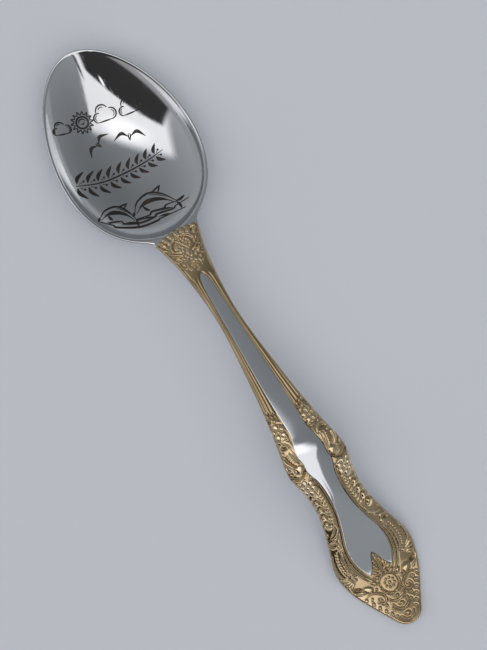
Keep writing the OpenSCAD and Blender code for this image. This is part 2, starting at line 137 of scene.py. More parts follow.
OUTLINE = [
    (36, BOWL_W * 0.343), (40, BOWL_W * 0.26), (44, SHANK + 3.15), (48, SHANK + 1.9), (52, SHANK + 1.05),
    (57, SHANK + 0.4), (64, SHANK), (70, SHANK + 0.22), (78, SHANK + 0.98), (86, mix(SHANK, SCROLL, 0.44)),
    (93, mix(SHANK, SCROLL, 0.7)), (100, SCROLL), (104, mix(SCROLL, WAIST, 0.5)), (108.5, WAIST),
    (113, mix(WAIST, CREST_HALF, 0.17)), (118, mix(WAIST, CREST_HALF, 0.57)),
    (121.5, mix(WAIST, CREST_HALF, 0.91)), (124, CREST_HALF), (127, CREST_HALF * 0.955),
    (130, CREST_HALF * 0.845), (134, CREST_HALF * 0.61), (TIP_FROM / U, TIP_R * math.cos(TIP_TAPER))]


def egg(t, half):
    return half * (0.99 + 0.142 * t) * np.sqrt(np.maximum(1 - t * t, 0))


def bowl_edge(s):
    return egg((s - BOWL_MID) / BOWL_MID, BOWL_W / 2)


def handle_edge(s):
    tip = np.sqrt(np.maximum(TIP_R**2 - (s - LENGTH + TIP_R) ** 2, 0))
    return np.where(s > TIP_FROM, np.maximum(tip, 0.02), curve(OUTLINE, s / U))


def half_w(s):
    s = np.asarray(s, float)
    blended = smax(bowl_edge(s), handle_edge(s), 2.4)
    return np.where(s < 36 * U, bowl_edge(s), np.where(s < 60 * U, blended, handle_edge(s)))


def panel_edge(s):
    return curve([(54.5, 0.3), (56, 0.8), (58, 1.05), (64, 1.3), (72, 1.55), (84, 1.95), (92, 2.35),
                  (100, 2.75), (105, 2.6), (109, 2.4), (113, 2.6), (116, 3.2), (119, 4.1), (122, 4.7),
                  (124.5, 4.5), (127, 3.2)], s / U)


def rim_z(s):
    t = (s - BOWL_MID) / BOWL_MID
    return BOWL_DEPTH + BOWL_WALL + 0.95 * t * t + 0.2 * t


def land_z(s):
    after = curve([
        (36, float(rim_z(36 * U))), (40, float(rim_z(40 * U))), (44.5, float(rim_z(44.5 * U)) + 0.15),
        (50, ARCH_H - 4.5), (56, ARCH_H - 3.5), (63, ARCH_H - 2.65), (70, ARCH_H - 1.9), (77, ARCH_H - 1.25),
        (84, ARCH_H - 0.65), (90, ARCH_H - 0.24), (94, ARCH_H - 0.05), (96, ARCH_H), (98.5, ARCH_H * 0.982),
        (101, ARCH_H * 0.937), (104, ARCH_H * 0.87), (108, ARCH_H * 0.765), (111, ARCH_H * 0.674),
        (118, ARCH_H * 0.441), (124, ARCH_H * 0.24), (127, CREST_T + 0.58), (129, CREST_T + 0.1),
        (131, CREST_T), (134, CREST_T + 0.17), (140, CREST_T + 0.6)], s / U)
    return np.where(s < 38 * U, rim_z(s), after)


def crown(s):
    return curve([(40, 0), (46, 0.25), (54, 0.3), (70, 0.28), (84, 0.4), (93, 0.85), (100, 0.95),
                  (124, 0.95),
                  (134, 0.6), (140, 0.1)], s / U)


def middle_t(s):
    return curve([(40, RIM_H), (44, 1.9), (50, 2.3), (60, SHANK_T), (72, SHANK_T), (90, 2.1), (110, 1.85),
                  (130, CREST_T), (140, CREST_T)], s / U)


def edge_t(s):
    return curve([(40, RIM_H), (44, 0.95), (50, 1.4), (60, 1.7), (90, 1.4), (124, 1.15), (140, 1.2)], s / U)


def dish(s, n, half_l, half, depth, edge_z):
    t = (s - BOWL_MID) / half_l
    inner = np.clip(t, -0.98, 0.98)

    def sag(v):
        return depth * (np.sqrt(np.maximum(1 - 0.64 * v * v, 0)) - 0.6) / 0.4 * (1 + 0.08 * v)
    w, d = egg(inner, half), sag(inner)
    r = (w * w + d * d) / (2 * d)
    return edge_z - sag(t) + r - np.sqrt(np.maximum(r * r - n * n, 0))


def hollow_z(s, n):
    return dish(s, n, BOWL_MID - RIM_W, BOWL_W / 2 - RIM_W, BOWL_DEPTH, rim_z(s))


def belly_z(s, n):
    return dish(s, n, BOWL_MID, BOWL_W / 2, BOWL_DEPTH + BOWL_WALL - RIM_H, rim_z(s) - RIM_H) - FOOT


def crowned_z(s, n):
    return land_z(s) - crown(s) * (n / np.maximum(half_w(s), 0.01)) ** 2


def back_z(s, n):
    bulge = np.maximum(0, 1 - (n / handle_edge(s)) ** 2)
    return crowned_z(s, n) - edge_t(s) - (middle_t(s) - edge_t(s)) * bulge


def top_z(s, n):
    """Upper side of the blank, which dips into the hollow on the bowl's side of the neck."""
    blended = smin(crowned_z(s, n), hollow_z(s, n), 0.35)
    return np.where(s > 46 * U, crowned_z(s, n), blended)


def under_z(s, n):
    z = np.where(s < 36 * U, belly_z(s, n),
                 np.where(s < 45 * U, smin(belly_z(s, n), back_z(s, n), 0.6), back_z(s, n)))
    return np.maximum(z, 0)


def edge_distance(s, n):
    """Rough distance from (n, s) in to the outline."""
    step = 0.05
    slope = (half_w(s + step) - half_w(s - step)) / (2 * step)
    return np.maximum(half_w(s) - np.abs(n), 0) / np.sqrt(1 + slope**2)


def rounding(distance, r):
    """How far an edge of radius r falls away at a distance from the outline."""
    d = np.clip(distance, 0, r)
    return r - np.sqrt(np.maximum(r * r - (r - d) ** 2, 0))


# ---- materials ----


def material(name, base, roughness, metallic=1.0):
    """A new principled material, as (material, nodes, links, shader)."""
    mat = bpy.data.materials.new(name)
    mat.use_nodes = True
    nodes, links = mat.node_tree.nodes, mat.node_tree.links
    shader = nodes["Principled BSDF"]
    shader.inputs["Base Color"].default_value = (*base, 1)
    shader.inputs["Metallic"].default_value = metallic
    shader.inputs["Roughness"].default_value = roughness
    return mat, nodes, links, shader


def ramp(nodes, links, factor, stops):
    node = nodes.new("ShaderNodeValToRGB")
    elements = node.color_ramp.elements
    while len(elements) < len(stops):
        elements.new(0.5)
    for element, (at, colour) in zip(elements, stops):
        element.position = at
        element.color = (*colour, 1)
    links.new(factor, node.inputs["Fac"])
    return node


def noise(nodes, links, scale, detail=3.0, stretch=None, turn=0.0):
    """Noise in object space at a scale per metre, stretched along the spoon if asked."""
    where = nodes.new("ShaderNodeTexCoord")
    mapping = nodes.new("ShaderNodeMapping")
    if stretch:
        mapping.inputs["Scale"].default_value = stretch
    mapping.inputs["Rotation"].default_value = (0, 0, turn)
    tex = nodes.new("ShaderNodeTexNoise")
    tex.inputs["Scale"].default_value = scale
    tex.inputs["Detail"].default_value = detail
    links.new(where.outputs["Object"], mapping.inputs["Vector"])
    links.new(mapping.outputs["Vector"], tex.inputs["Vector"])
    return tex.outputs["Fac"]


def bump(nodes, links, shader, height, strength, distance):
    node = nodes.new("ShaderNodeBump")
    node.inputs["Strength"].default_value = strength
    node.inputs["Distance"].default_value = distance
    links.new(height, node.inputs["Height"])
    links.new(node.outputs["Normal"], shader.inputs["Normal"])


def grey(v):
    return (v, v, v)


def steel_material(name, base, rough_low, rough_high, scratch):
    """Polished steel with a faint haze of wear and fine hair scratches."""
    mat, nodes, links, shader = material(name, base, rough_low)
    haze = noise(nodes, links, 160, 4)
    spread = ramp(nodes, links, haze, [(0.35, grey(rough_low)), (0.75, grey(rough_high))])
    links.new(spread.outputs["Color"], shader.inputs["Roughness"])
    tint = noise(nodes, links, 60, 2)
    low = tuple(0.93 * c for c in base)
    shade = ramp(nodes, links, tint, [(0.3, low), (0.7, base)])
    links.new(shade.outputs["Color"], shader.inputs["Base Color"])
    hair = noise(nodes, links, 900, 3, stretch=(6, 0.25, 1), turn=0.35)
    lines = ramp(nodes, links, hair, [(0.62, grey(0)), (0.7, grey(1))])
    bump(nodes, links, shader, lines.outputs["Color"], scratch, 0.00002)
    return mat


def gold_material():
    """Thin gold plating, coloured by the relief's height: painted shade, darker and redder, in the recesses,
    and a painted highlight, paler, on the raised tops.
    """
    mat, nodes, links, shader = material("gold_plate", (0.8, 0.58, 0.28), 0.16)
    height = nodes.new("ShaderNodeAttribute")
    height.attribute_name = "relief"
    # painted shade in the recesses and a painted highlight on the raised tops, both taken from the relief's
    # height
    painted_shade_and_highlight = ramp(nodes, links, height.outputs["Fac"],
                  [(0.0, (0.13, 0.085, 0.042)), (0.17, (0.32, 0.23, 0.118)), (0.36, (0.49, 0.37, 0.215)),
                   (0.6, (0.69, 0.54, 0.335)), (0.9, (0.98, 0.84, 0.60))])
    mottle = noise(nodes, links, 500, 3)
    shade = ramp(nodes, links, mottle, [(0.3, grey(0.88)), (0.7, grey(1))])
    both = nodes.new("ShaderNodeMix")
    both.data_type, both.blend_type = "RGBA", "MULTIPLY"
    both.inputs["Factor"].default_value = 1
    links.new(painted_shade_and_highlight.outputs["Color"], both.inputs["A"])
    links.new(shade.outputs["Color"], both.inputs["B"])
    links.new(both.outputs["Result"], shader.inputs["Base Color"])
    rough = ramp(nodes, links, height.outputs["Fac"], [(0.0, grey(0.30)), (0.45, grey(0.13)),
                                                       (1.0, grey(0.09))])
    links.new(rough.outputs["Color"], shader.inputs["Roughness"])
    bump(nodes, links, shader, noise(nodes, links, 2500, 3), 0.08, 0.00004)
    return mat


def engraving_material():
    """Burnt oxide: near-black with brown patches and a rough, grainy surface."""
    mat, nodes, links, shader = material("engraving", (0.02, 0.018, 0.017), 0.5, metallic=0.35)
    grain = noise(nodes, links, 700, 4)
    shade = ramp(nodes, links, grain, [(0.3, (0.022, 0.020, 0.021)), (0.55, (0.042, 0.034, 0.030)),
                                       (0.8, (0.095, 0.062, 0.042))])
    links.new(shade.outputs["Color"], shader.inputs["Base Color"])
    rough = ramp(nodes, links, grain, [(0.3, grey(0.42)), (0.8, grey(0.65))])
    links.new(rough.outputs["Color"], shader.inputs["Roughness"])
    bump(nodes, links, shader, noise(nodes, links, 6000, 2), 0.25, 0.00003)
    return mat


STEEL = steel_material("polished_steel", (0.66, 0.675, 0.695), 0.045, 0.10, 0.10)
MIRROR = steel_material("mirror_steel", (0.66, 0.685, 0.715), 0.05, 0.11, 0.05)
GOLD = gold_material()
DARK = engraving_material()
LOOKS = {"polished_steel": STEEL, "mirror_steel": MIRROR, "gold_plate": GOLD, "engraving": DARK}

# ---- meshes ----


def piece(name, points, faces, slot, nodes, sharp_angle, relief=None):
    """A piece from points (n, s, z) in millimetres and faces of 3 or 4 corners."""
    points = np.asarray(points, float)
    at = np.stack([points[:, 0], LENGTH / 2 - points[:, 1], points[:, 2]], 1) * MM
    mesh = bpy.data.meshes.new(name)
    sizes = np.concatenate([np.full(len(f), f.shape[1]) for f in faces])
    corners = np.concatenate([f.reshape(-1) for f in faces])
    mesh.vertices.add(len(at))
    mesh.vertices.foreach_set("co", at.astype(np.float32).reshape(-1))
    mesh.loops.add(len(corners))
    mesh.loops.foreach_set("vertex_index", corners.astype(np.int32))
    mesh.polygons.add(len(sizes))
    mesh.polygons.foreach_set("loop_start", (np.cumsum(sizes) - sizes).astype(np.int32))
    mesh.polygons.foreach_set("loop_total", sizes.astype(np.int32))
    mesh.update(calc_edges=True)
    mesh.validate()
    if relief is not None:
        mesh.attributes.new("relief", "FLOAT", "POINT").data.foreach_set("value", relief.astype(np.float32))
    mesh.polygons.foreach_set("use_smooth", np.ones(len(mesh.polygons), bool))
    mesh.set_sharp_from_angle(angle=math.radians(sharp_angle))
    mesh.materials.append(LOOKS[slot])
    obj = bpy.data.objects.new(name, mesh)
    bpy.context.collection.objects.link(obj)
    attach(obj, "root")
    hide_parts(*nodes)
    return obj


def quads(rows, cols, closed=False):
    """Corner numbers of the faces of a grid of rows x cols points, each row closed if asked."""
    i, j = np.meshgrid(np.arange(rows - 1), np.arange(cols if closed else cols - 1), indexing="ij")
    k = (j + 1) % cols
    return np.stack([i * cols + j, i * cols + k, (i + 1) * cols + k, (i + 1) * cols + j], -1).reshape(-1, 4)


# ---- bowl ----


def bowl():
    around_bowl, across_neck = 150, 40
    side = NECK_CUT * (1 - np.cos(np.linspace(0, np.pi / 2, around_bowl + 1)))
    w = half_w(side)
    neck = np.linspace(-1, 1, across_neck + 1)[1:-1] * w[-1]
    edge = np.concatenate([
        np.stack([w[:0:-1], side[:0:-1]], 1), [[0, 0]], np.stack([-w[1:], side[1:]], 1),
        np.stack([neck, np.full(len(neck), NECK_CUT)], 1)])
    reach = np.hypot(edge[:, 0], edge[:, 1] - BOWL_MID)
    r_top, r_low = 0.34, 0.38
    # rings at distances in from the outline, then at shares of the way to the middle
    near = np.array([0, 0.012, 0.04, 0.09, 0.16, 0.25, 0.36, 0.5, 0.66, 0.8, 0.92, 1.04, 1.18, 1.35,
                     1.6, 1.9])
    inner = np.linspace(0, 1, 64)[-2:0:-1, None]
    share = np.concatenate([1 - near[:, None] / reach, inner * (1 - near[-1] / reach)])
    n, s = share * edge[:, 0], BOWL_MID + share * (edge[:, 1] - BOWL_MID)
    off = edge_distance(s, n)
    upper = np.stack([n, s, top_z(s, n) - rounding(off, r_top)], -1)
    lower = np.stack([n, s, under_z(s, n) + rounding(off, r_low)], -1)
    grid = np.concatenate([upper[::-1], lower])
    rows, cols = grid.shape[:2]
    middle = [[0, BOWL_MID, float(z(BOWL_MID, 0.0))] for z in (top_z, under_z)]
    points = np.concatenate([grid.reshape(-1, 3), middle])
    j, last = np.arange(cols), (rows - 1) * cols
    k = (j + 1) % cols
    caps = np.concatenate([np.stack([j, k, np.full(cols, rows * cols)], 1),
                           np.stack([np.full(cols, rows * cols + 1), last + k, last + j], 1)])
    faces = [quads(rows, cols, closed=True), caps]
    return piece("bowl", points, faces, "polished_steel", ["bowl"], sharp_angle=50)

# ---- handle's blank ----

SINK = 0.03                                     # the plates reach this far into the blank


def handle_places():
    """Rows along the handle, close together at the cut by the bowl and round the end."""
    first = NECK_CUT + 0.4 * np.linspace(0, 1, 6) ** 2
    tip = LENGTH - TIP_R + TIP_R * np.sin(np.linspace(TIP_TAPER, np.pi / 2, 26))
    middle = np.linspace(first[-1], TIP_FROM, 240)
    return np.concatenate([first, middle[1:], tip[1:]])


def handle_blank():
    s = handle_places()
    w = half_w(s)
    top_share = np.linspace(-1, 1, 25)
    r_top, r_low, turns = 0.22, 0.42, 7
    a = np.linspace(0, np.pi / 2, turns)
    rows = []
    for si, wi in zip(s, w):
        r1, r2 = min(r_top, 0.45 * wi), min(r_low, 0.45 * wi)
        top_n = top_share * (wi - r1)
        side_top = wi - r1 + r1 * np.sin(a[1:])
        side_low = wi - r2 + r2 * np.cos(a)
        low_n = np.linspace(1, -1, 31)[1:-1] * (wi - r2)
        upper_n = np.concatenate([-side_top[::-1], top_n, side_top])
        fall, lift = r1 * (1 - np.cos(a[1:])), r2 * (1 - np.sin(a))
        drop = np.concatenate([fall[::-1], np.zeros(len(top_n)), fall])
        lower_n = np.concatenate([side_low, low_n, -side_low[::-1]])
        rise = np.concatenate([lift, np.zeros(len(low_n)), lift[::-1]])
        upper_z = top_z(np.full(len(upper_n), si), upper_n) - drop - 0.01
        lower_z = under_z(np.full(len(lower_n), si), lower_n) + rise
        lower_z = np.minimum(lower_z, top_z(np.full(len(lower_n), si), lower_n) - 0.5)
        n = np.concatenate([upper_n, lower_n])
        rows.append(np.stack([n, np.full(len(n), si), np.concatenate([upper_z, lower_z])], 1))
    grid = np.array(rows)
    m, cols = grid.shape[:2]
    ends = [np.arange(cols)[None, ::-1], ((m - 1) * cols + np.arange(cols))[None, :]]
    faces = [quads(m, cols, closed=True)] + ends
    return piece("handle_core", grid.reshape(-1, 3), faces, "polished_steel", ["handle_core"],
                 sharp_angle=55)


# ---- relief: heights over (m, s) ----

CELL = 0.05
M_AXIS = np.arange(0, 9.8, CELL)
S_AXIS = np.arange(42.5, LENGTH + 0.8, CELL)
RM, RS = np.meshgrid(M_AXIS, S_AXIS)
RW, RP = half_w(np.minimum(RS, LENGTH - 0.02)), panel_edge(RS)

MIDDLE = ["neck", "neck_shell", "neck_flower", "neck_scrolls",
          "crest", "crest_rosette", "crest_palmette", "crest_scrolls", "crest_beads"]
SIDES = ["border", "reeds", "upper_flower", "middle_scroll", "lower_flower", "bead_rows", "leaves"]
NUMBER = {name: i for i, name in enumerate(MIDDLE + SIDES)}

def tongue_edge(s):
    """Half-width of the gold tongue that rises into the panel's lower end."""
    return curve([(122.9, 0), (123.6, 0.55), (125, 1.1), (126.2, 1.75), (127.2, 2.6), (128.4, 3.4)], s / U)


def panel_side(m, s):
    """Above 0 inside the mirror panel, below 0 on the gold."""
    p = curve([(54.6, 0.02), (55.2, 0.55), (56, 0.85), (58, 1.1), (64, 1.3), (72, 1.55), (83, 1.95),
               (90, 1.95), (93, 1.9), (94.5, 2.3), (96, 2.75), (98, 3.05), (99.6, 2.85), (101.3, 3.0),
               (102.6, 2.7), (104, 2.15), (106.5, 1.8), (109, 1.78), (112, 2.05), (114, 2.55), (116, 3.1),
               (118, 3.75), (120, 4.2), (122, 4.3), (124, 4.0), (125.5, 3.5), (127, 2.75), (127.9, 2.0)],
               s / U)
    inside = np.minimum(p - m, np.where(s > 122.9 * U, m - tongue_edge(s), 9))
    inside = np.minimum(inside, (s - 54.6 * U) * 0.9)
    return np.minimum(inside, 127.7 * U - s)


def neck_side(m, s):
    """Above 0 where the neck's plating lies, below 0 on the bare bowl."""
    lobes = 0.42 * np.abs(np.cos(np.pi * m / 1.35)) ** 0.8
    return s - (NECK_CUT + 0.1 - lobes + 0.035 * m * m)


def from_line(m, s, line, width):
    """Distance to a line of points, and the line's half-width at the nearest place."""
    best, half = np.full(m.shape, 99.0), np.zeros(m.shape)
    for a, b, wa, wb in zip(line[:-1], line[1:], width[:-1], width[1:]):
        d = b - a
        f = np.clip(((m - a[0]) * d[0] + (s - a[1]) * d[1]) / max(d @ d, 1e-9), 0, 1)
        gap = np.hypot(m - a[0] - f * d[0], s - a[1] - f * d[1])
        near = gap < best
        best, half = np.where(near, gap, best), np.where(near, mix(wa, wb, f), half)
    return best, half

def around(m0, s0, a, rm, rs=None):
    """The place at an angle in degrees on a circle or an oval."""
    return m0 + rm * math.cos(math.radians(a)), s0 + (rs or rm) * math.sin(math.radians(a))

class Relief:
    """Heights above the blank, and which group each place belongs to."""

    def __init__(self):
        t = np.clip((RM - RP) / np.maximum(RW - RP, 0.3), 0, 1)
        raised = ease((RS / U - 100) / 4) * ease((115.5 - RS / U) / 4)
        border = 0.3 + 0.16 * np.sin(np.pi * t) ** 0.8 + 0.2 * t * raised
        crest = 0.34 + 0.3 * (RM / np.maximum(RW, 1)) ** 2
        neck = 0.34 + 0.16 * (1 - (RM / RW) ** 2)
        z = mix(neck, border, ease((RS / U - 52.5) / 3.5))
        self.z = mix(z, crest, ease((RS / U - 125.5) / 3))
        self.base = self.z.copy()
        self.group = np.full(RM.shape, NUMBER["border"])
        self.group[RS < 54.5 * U] = NUMBER["neck"]
        self.group[RS > 127 * U] = NUMBER["crest"]

    def window(self, points, reach):
        lo, hi = np.min(points, 0) - reach, np.max(points, 0) + reach
        i = slice(max(int((lo[1] - S_AXIS[0]) / CELL), 0), max(int((hi[1] - S_AXIS[0]) / CELL) + 2, 0))
        j = slice(max(int(lo[0] / CELL), 0), max(int(hi[0] / CELL) + 2, 0))
        return i, j

    def add(self, where, share, group, h, halo_share, halo):
        """Raises a form where share is above 0, in a groove where halo_share is."""
        z = self.z[where]
        z -= halo * halo_share
        form = z + halo * halo_share + h * share - 0.02
        self.z[where] = np.where(share > 0, np.maximum(z, form), z)
        self.group[where][halo_share > 0.25] = NUMBER[group]

    def ridge(self, group, points, w, h=0.3, taper=0.3, halo=0.2, rim=0.16, steps=None):
        """Round ridge along a smooth path, w wide, tapering to taper times that at its ends."""
        line = path(points, steps or 8 * (len(points) - 1)) * [1, U]
        where = self.window(line, w / 2 + rim + 0.1)
        width = w / 2 * mix(taper, 1, np.sin(np.pi * np.linspace(0, 1, len(line))) ** 0.6)
        best, half = from_line(RM[where], RS[where], line, width)
        share = np.sqrt(np.maximum(1 - (best / half) ** 2, 0)) * (0.35 + 0.65 * half / (w / 2))
        self.add(where, share, group, h, ease(1 - (best - half) / rim), halo)

    def groove(self, points, w, depth=0.25, steps=None):
        line = path(points, steps or 8 * (len(points) - 1)) * [1, U]
        where = self.window(line, w)
        best, half = from_line(RM[where], RS[where], line, np.full(len(line), w / 2))
        self.z[where] -= depth * ease(1 - best / half)

    def oval(self, m0, s0, rm, rs, turn, reach):
        """A window round an oval, and how many radii its places are from the middle."""
        where = self.window([(m0, s0 * U)], max(rm, rs) + reach)
        m, s = RM[where] - m0, RS[where] - s0 * U
        c, k = math.cos(math.radians(turn)), math.sin(math.radians(turn))
        return where, np.hypot((m * c + s * k) / rm, (s * c - m * k) / rs)

    def dome(self, group, m0, s0, rm, rs=None, turn=0.0, h=0.3, halo=0.2, rim=0.16):
        """Round or oval boss with radii rm and rs, turned by an angle in degrees."""
        rs = rs or rm
        where, q = self.oval(m0, s0, rm, rs, turn, rim + 0.1)
        share = np.sqrt(np.maximum(1 - q * q, 0))
        self.add(where, share, group, h, ease(1 - (q - 1) * min(rm, rs) / rim), halo)

    def pit(self, m0, s0, rm, rs=None, turn=0.0, depth=0.35):
        where, q = self.oval(m0, s0, rm, rs or rm, turn, 0.1)
        self.z[where] -= depth * ease(1.25 * (1 - q))

    def flower(self, group, m0, s0, petals, ring, petal, eye, h, start):
        """Open flower: round cupped petals about a raised eye."""
        self.dome(group, m0, s0, ring + petal * 0.9, h=0.02, halo=0.22, rim=0.2)
        for i in range(petals):
            a = start + 360 * (i + 0.5) / petals
            self.dome(group, *around(m0, s0, a, ring), petal, petal * 0.86, a, h, halo=0.18, rim=0.1)
            self.pit(*around(m0, s0, a, ring * 1.05), petal * 0.5, petal * 0.36, a, 0.1)
        self.dome(group, m0, s0, eye, h=h * 0.9, halo=0.3, rim=0.14)

    def smooth(self, cells):
        """Softens the heights as stamping and plating do."""
        reach = int(3 * cells) + 1
        kernel = np.exp(-0.5 * (np.arange(-reach, reach + 1) / cells) ** 2)
        kernel /= kernel.sum()
        z = np.concatenate([self.z[:, reach:0:-1], self.z, self.z[:, -2:-reach - 2:-1]], 1)
        z = sum(k * z[:, i:i + self.z.shape[1]] for i, k in enumerate(kernel))
        z = np.concatenate([z[reach:0:-1], z, z[-2:-reach - 2:-1]], 0)
        self.z = sum(k * z[i:i + self.z.shape[0]] for i, k in enumerate(kernel))

    def at(self, n, s):
        """Height at places (n, s)."""
        x = np.clip(np.abs(n) / CELL, 0, len(M_AXIS) - 1.001)
        y = np.clip((s - S_AXIS[0]) / CELL, 0, len(S_AXIS) - 1.001)
        j, i = x.astype(int), y.astype(int)
        fx, fy = x - j, y - i
        near, far = (mix(self.z[row, j], self.z[row, j + 1], fx) for row in (i, i + 1))
        return mix(near, far, fy)

    def group_at(self, n, s):
        j = np.clip(np.round(np.abs(n) / CELL).astype(int), 0, len(M_AXIS) - 1)
        i = np.clip(np.round((s - S_AXIS[0]) / CELL).astype(int), 0, len(S_AXIS) - 1)
        return self.group[i, j]

def edge_line(s0, s1, inset):
    """Points that run along the outline, inset from it."""
    s = np.linspace(s0, s1, 12)
    return np.stack([half_w(s * U) - inset, s], 1)

def draw_neck(r):
    # ruffled leaves along the bowl
    for m in (0.0, 1.35, 2.7, 4.0):
        r.ridge("neck_shell", [(m * 0.86, 45.7 + 0.1 * m), (m * 0.97, 44.95 + 0.1 * m),
                               (m, 44.25 + 0.12 * m)],
                0.9, 0.3, 0.6, halo=0.16)
        r.groove([(m * 0.9, 45.6 + 0.1 * m), (m, 44.3 + 0.12 * m)], 0.2, 0.26)
        r.groove([(m * 0.88 + 0.6, 45.5 + 0.1 * m), (m + 0.68, 44.3 + 0.12 * m)], 0.3, 0.3)
    # shell arc round the middle cluster
    r.ridge("neck_shell", [(0, 45.35), (1.1, 45.5), (2.1, 46.1), (2.6, 47.1), (2.5, 48.2)], 0.42, 0.42, 0.8,
            halo=0.34)
    r.groove([(0, 45.8), (1.0, 45.95), (1.75, 46.45), (2.1, 47.2), (2.0, 48.2)], 0.36, 0.36)
    for a in range(-80, 65, 24):
        r.dome("neck_flower", *around(0, 47.35, a, 1.5, 1.3), 0.2, 0.3, a + 90, 0.3, halo=0.24)
    r.dome("neck_flower", 0, 47.35, 0.42, h=0.42, halo=0.3)
    r.pit(0, 47.35, 0.15, depth=0.16)
    for a in (-60, 0, 60):
        r.dome("neck_flower", *around(0, 47.35, a, 0.85, 0.75), 0.34, 0.3, a, 0.36, halo=0.26)
    # side eyes, and leaves and curls under them
    r.dome("neck_scrolls", 3.55, 45.95, 0.52, 0.64, 20, 0.36, halo=0.32)
    r.pit(3.55, 45.95, 0.24, 0.32, 20, 0.26)
    r.ridge("neck_scrolls", [(2.95, 45.1), (3.8, 45.0), (4.3, 45.6), (4.1, 46.6), (3.3, 46.95)], 0.3,
            0.32, 0.5)
    r.ridge("neck_scrolls", [(2.95, 47.6), (3.3, 47.3), (3.65, 47.0)], 0.4, 0.32, halo=0.26)
    r.ridge("neck_scrolls", [(1.2, 49.5), (2.0, 49.05), (2.9, 48.5), (3.5, 47.9)], 0.46, 0.4, 0.4, halo=0.3)
    r.groove([(1.2, 49.0), (2.0, 48.6), (2.7, 48.1)], 0.3, 0.3)
    r.dome("neck_scrolls", 2.35, 49.85, 0.36, 0.8, 38, 0.5, halo=0.3)
    r.dome("neck_scrolls", 1.45, 50.3, 0.3, 0.62, 30, 0.36, halo=0.26)
    r.ridge("neck_scrolls", [(3.0, 49.1), (3.2, 49.8), (2.95, 50.5)], 0.26, 0.28, 0.4, halo=0.22)
    r.dome("neck_scrolls", 2.1, 51.3, 0.34, 0.46, 20, 0.36, halo=0.3)
    r.pit(2.1, 51.3, 0.15, 0.22, 20, 0.22)
    r.ridge("neck_scrolls", [(2.55, 50.7), (2.75, 51.5), (2.35, 52.1), (1.75, 52.5)], 0.26, 0.3, 0.4)
    r.ridge("neck_scrolls", [(1.5, 51.1), (1.35, 51.8), (1.5, 52.5), (1.3, 53.3)], 0.24, 0.26, 0.4)
    # drop over the panel's point
    r.dome("neck_flower", 0, 49.5, 0.36, 0.55, 0, 0.34, halo=0.22)
    r.ridge("neck_flower", [(0.2, 50.5), (0.65, 50.1), (0.85, 49.4)], 0.28, 0.28, 0.4, halo=0.2)
    r.dome("neck_flower", 0, 51.0, 0.32, 0.42, 0, 0.3, halo=0.22)
    for a in (-70, -10, 50):
        r.dome("neck_flower", *around(0, 52.3, a, 0.55, 0.6), 0.22, 0.28, a, 0.32, halo=0.26)
    r.dome("neck_flower", 0, 52.3, 0.24, h=0.36, halo=0.24)
    r.dome("neck_flower", 0, 53.6, 0.24, 0.34, 0, 0.32, halo=0.24)
    r.ridge("neck", edge_line(44.6, 55.6, 0.3), 0.5, 0.24, 0.5, halo=0.16)


def draw_reeds(r):
    # three reeds side by side, which start one after the other at the neck
    t = (RM - RP) / np.maximum(RW - RP, 0.3)
    across = np.clip(t, 0, 1)
    fade = ease((RS / U - 53.6 - 1.2 * across) / 2.2) * ease((88.9 - RS / U - 1.5 * across) / 1.1)
    reed = np.abs(np.sin(3 * np.pi * across)) ** 0.7
    between = (t > 0) & (t < 1)
    r.z += np.where(between, (0.3 * reed - 0.12) * fade, 0)
    r.group[between & (fade > 0.3) & (t > 0.03) & (t < 0.97)] = NUMBER["reeds"]
    # rounded ends of the reeds
    r.dome("reeds", 4.15, 87.4, 0.42, 0.75, 20, 0.42, halo=0.3)
    r.dome("reeds", 3.35, 87.9, 0.3, 0.7, 18, 0.36, halo=0.25)
    r.dome("reeds", 2.6, 88.3, 0.3, 0.7, 15, 0.36, halo=0.25)


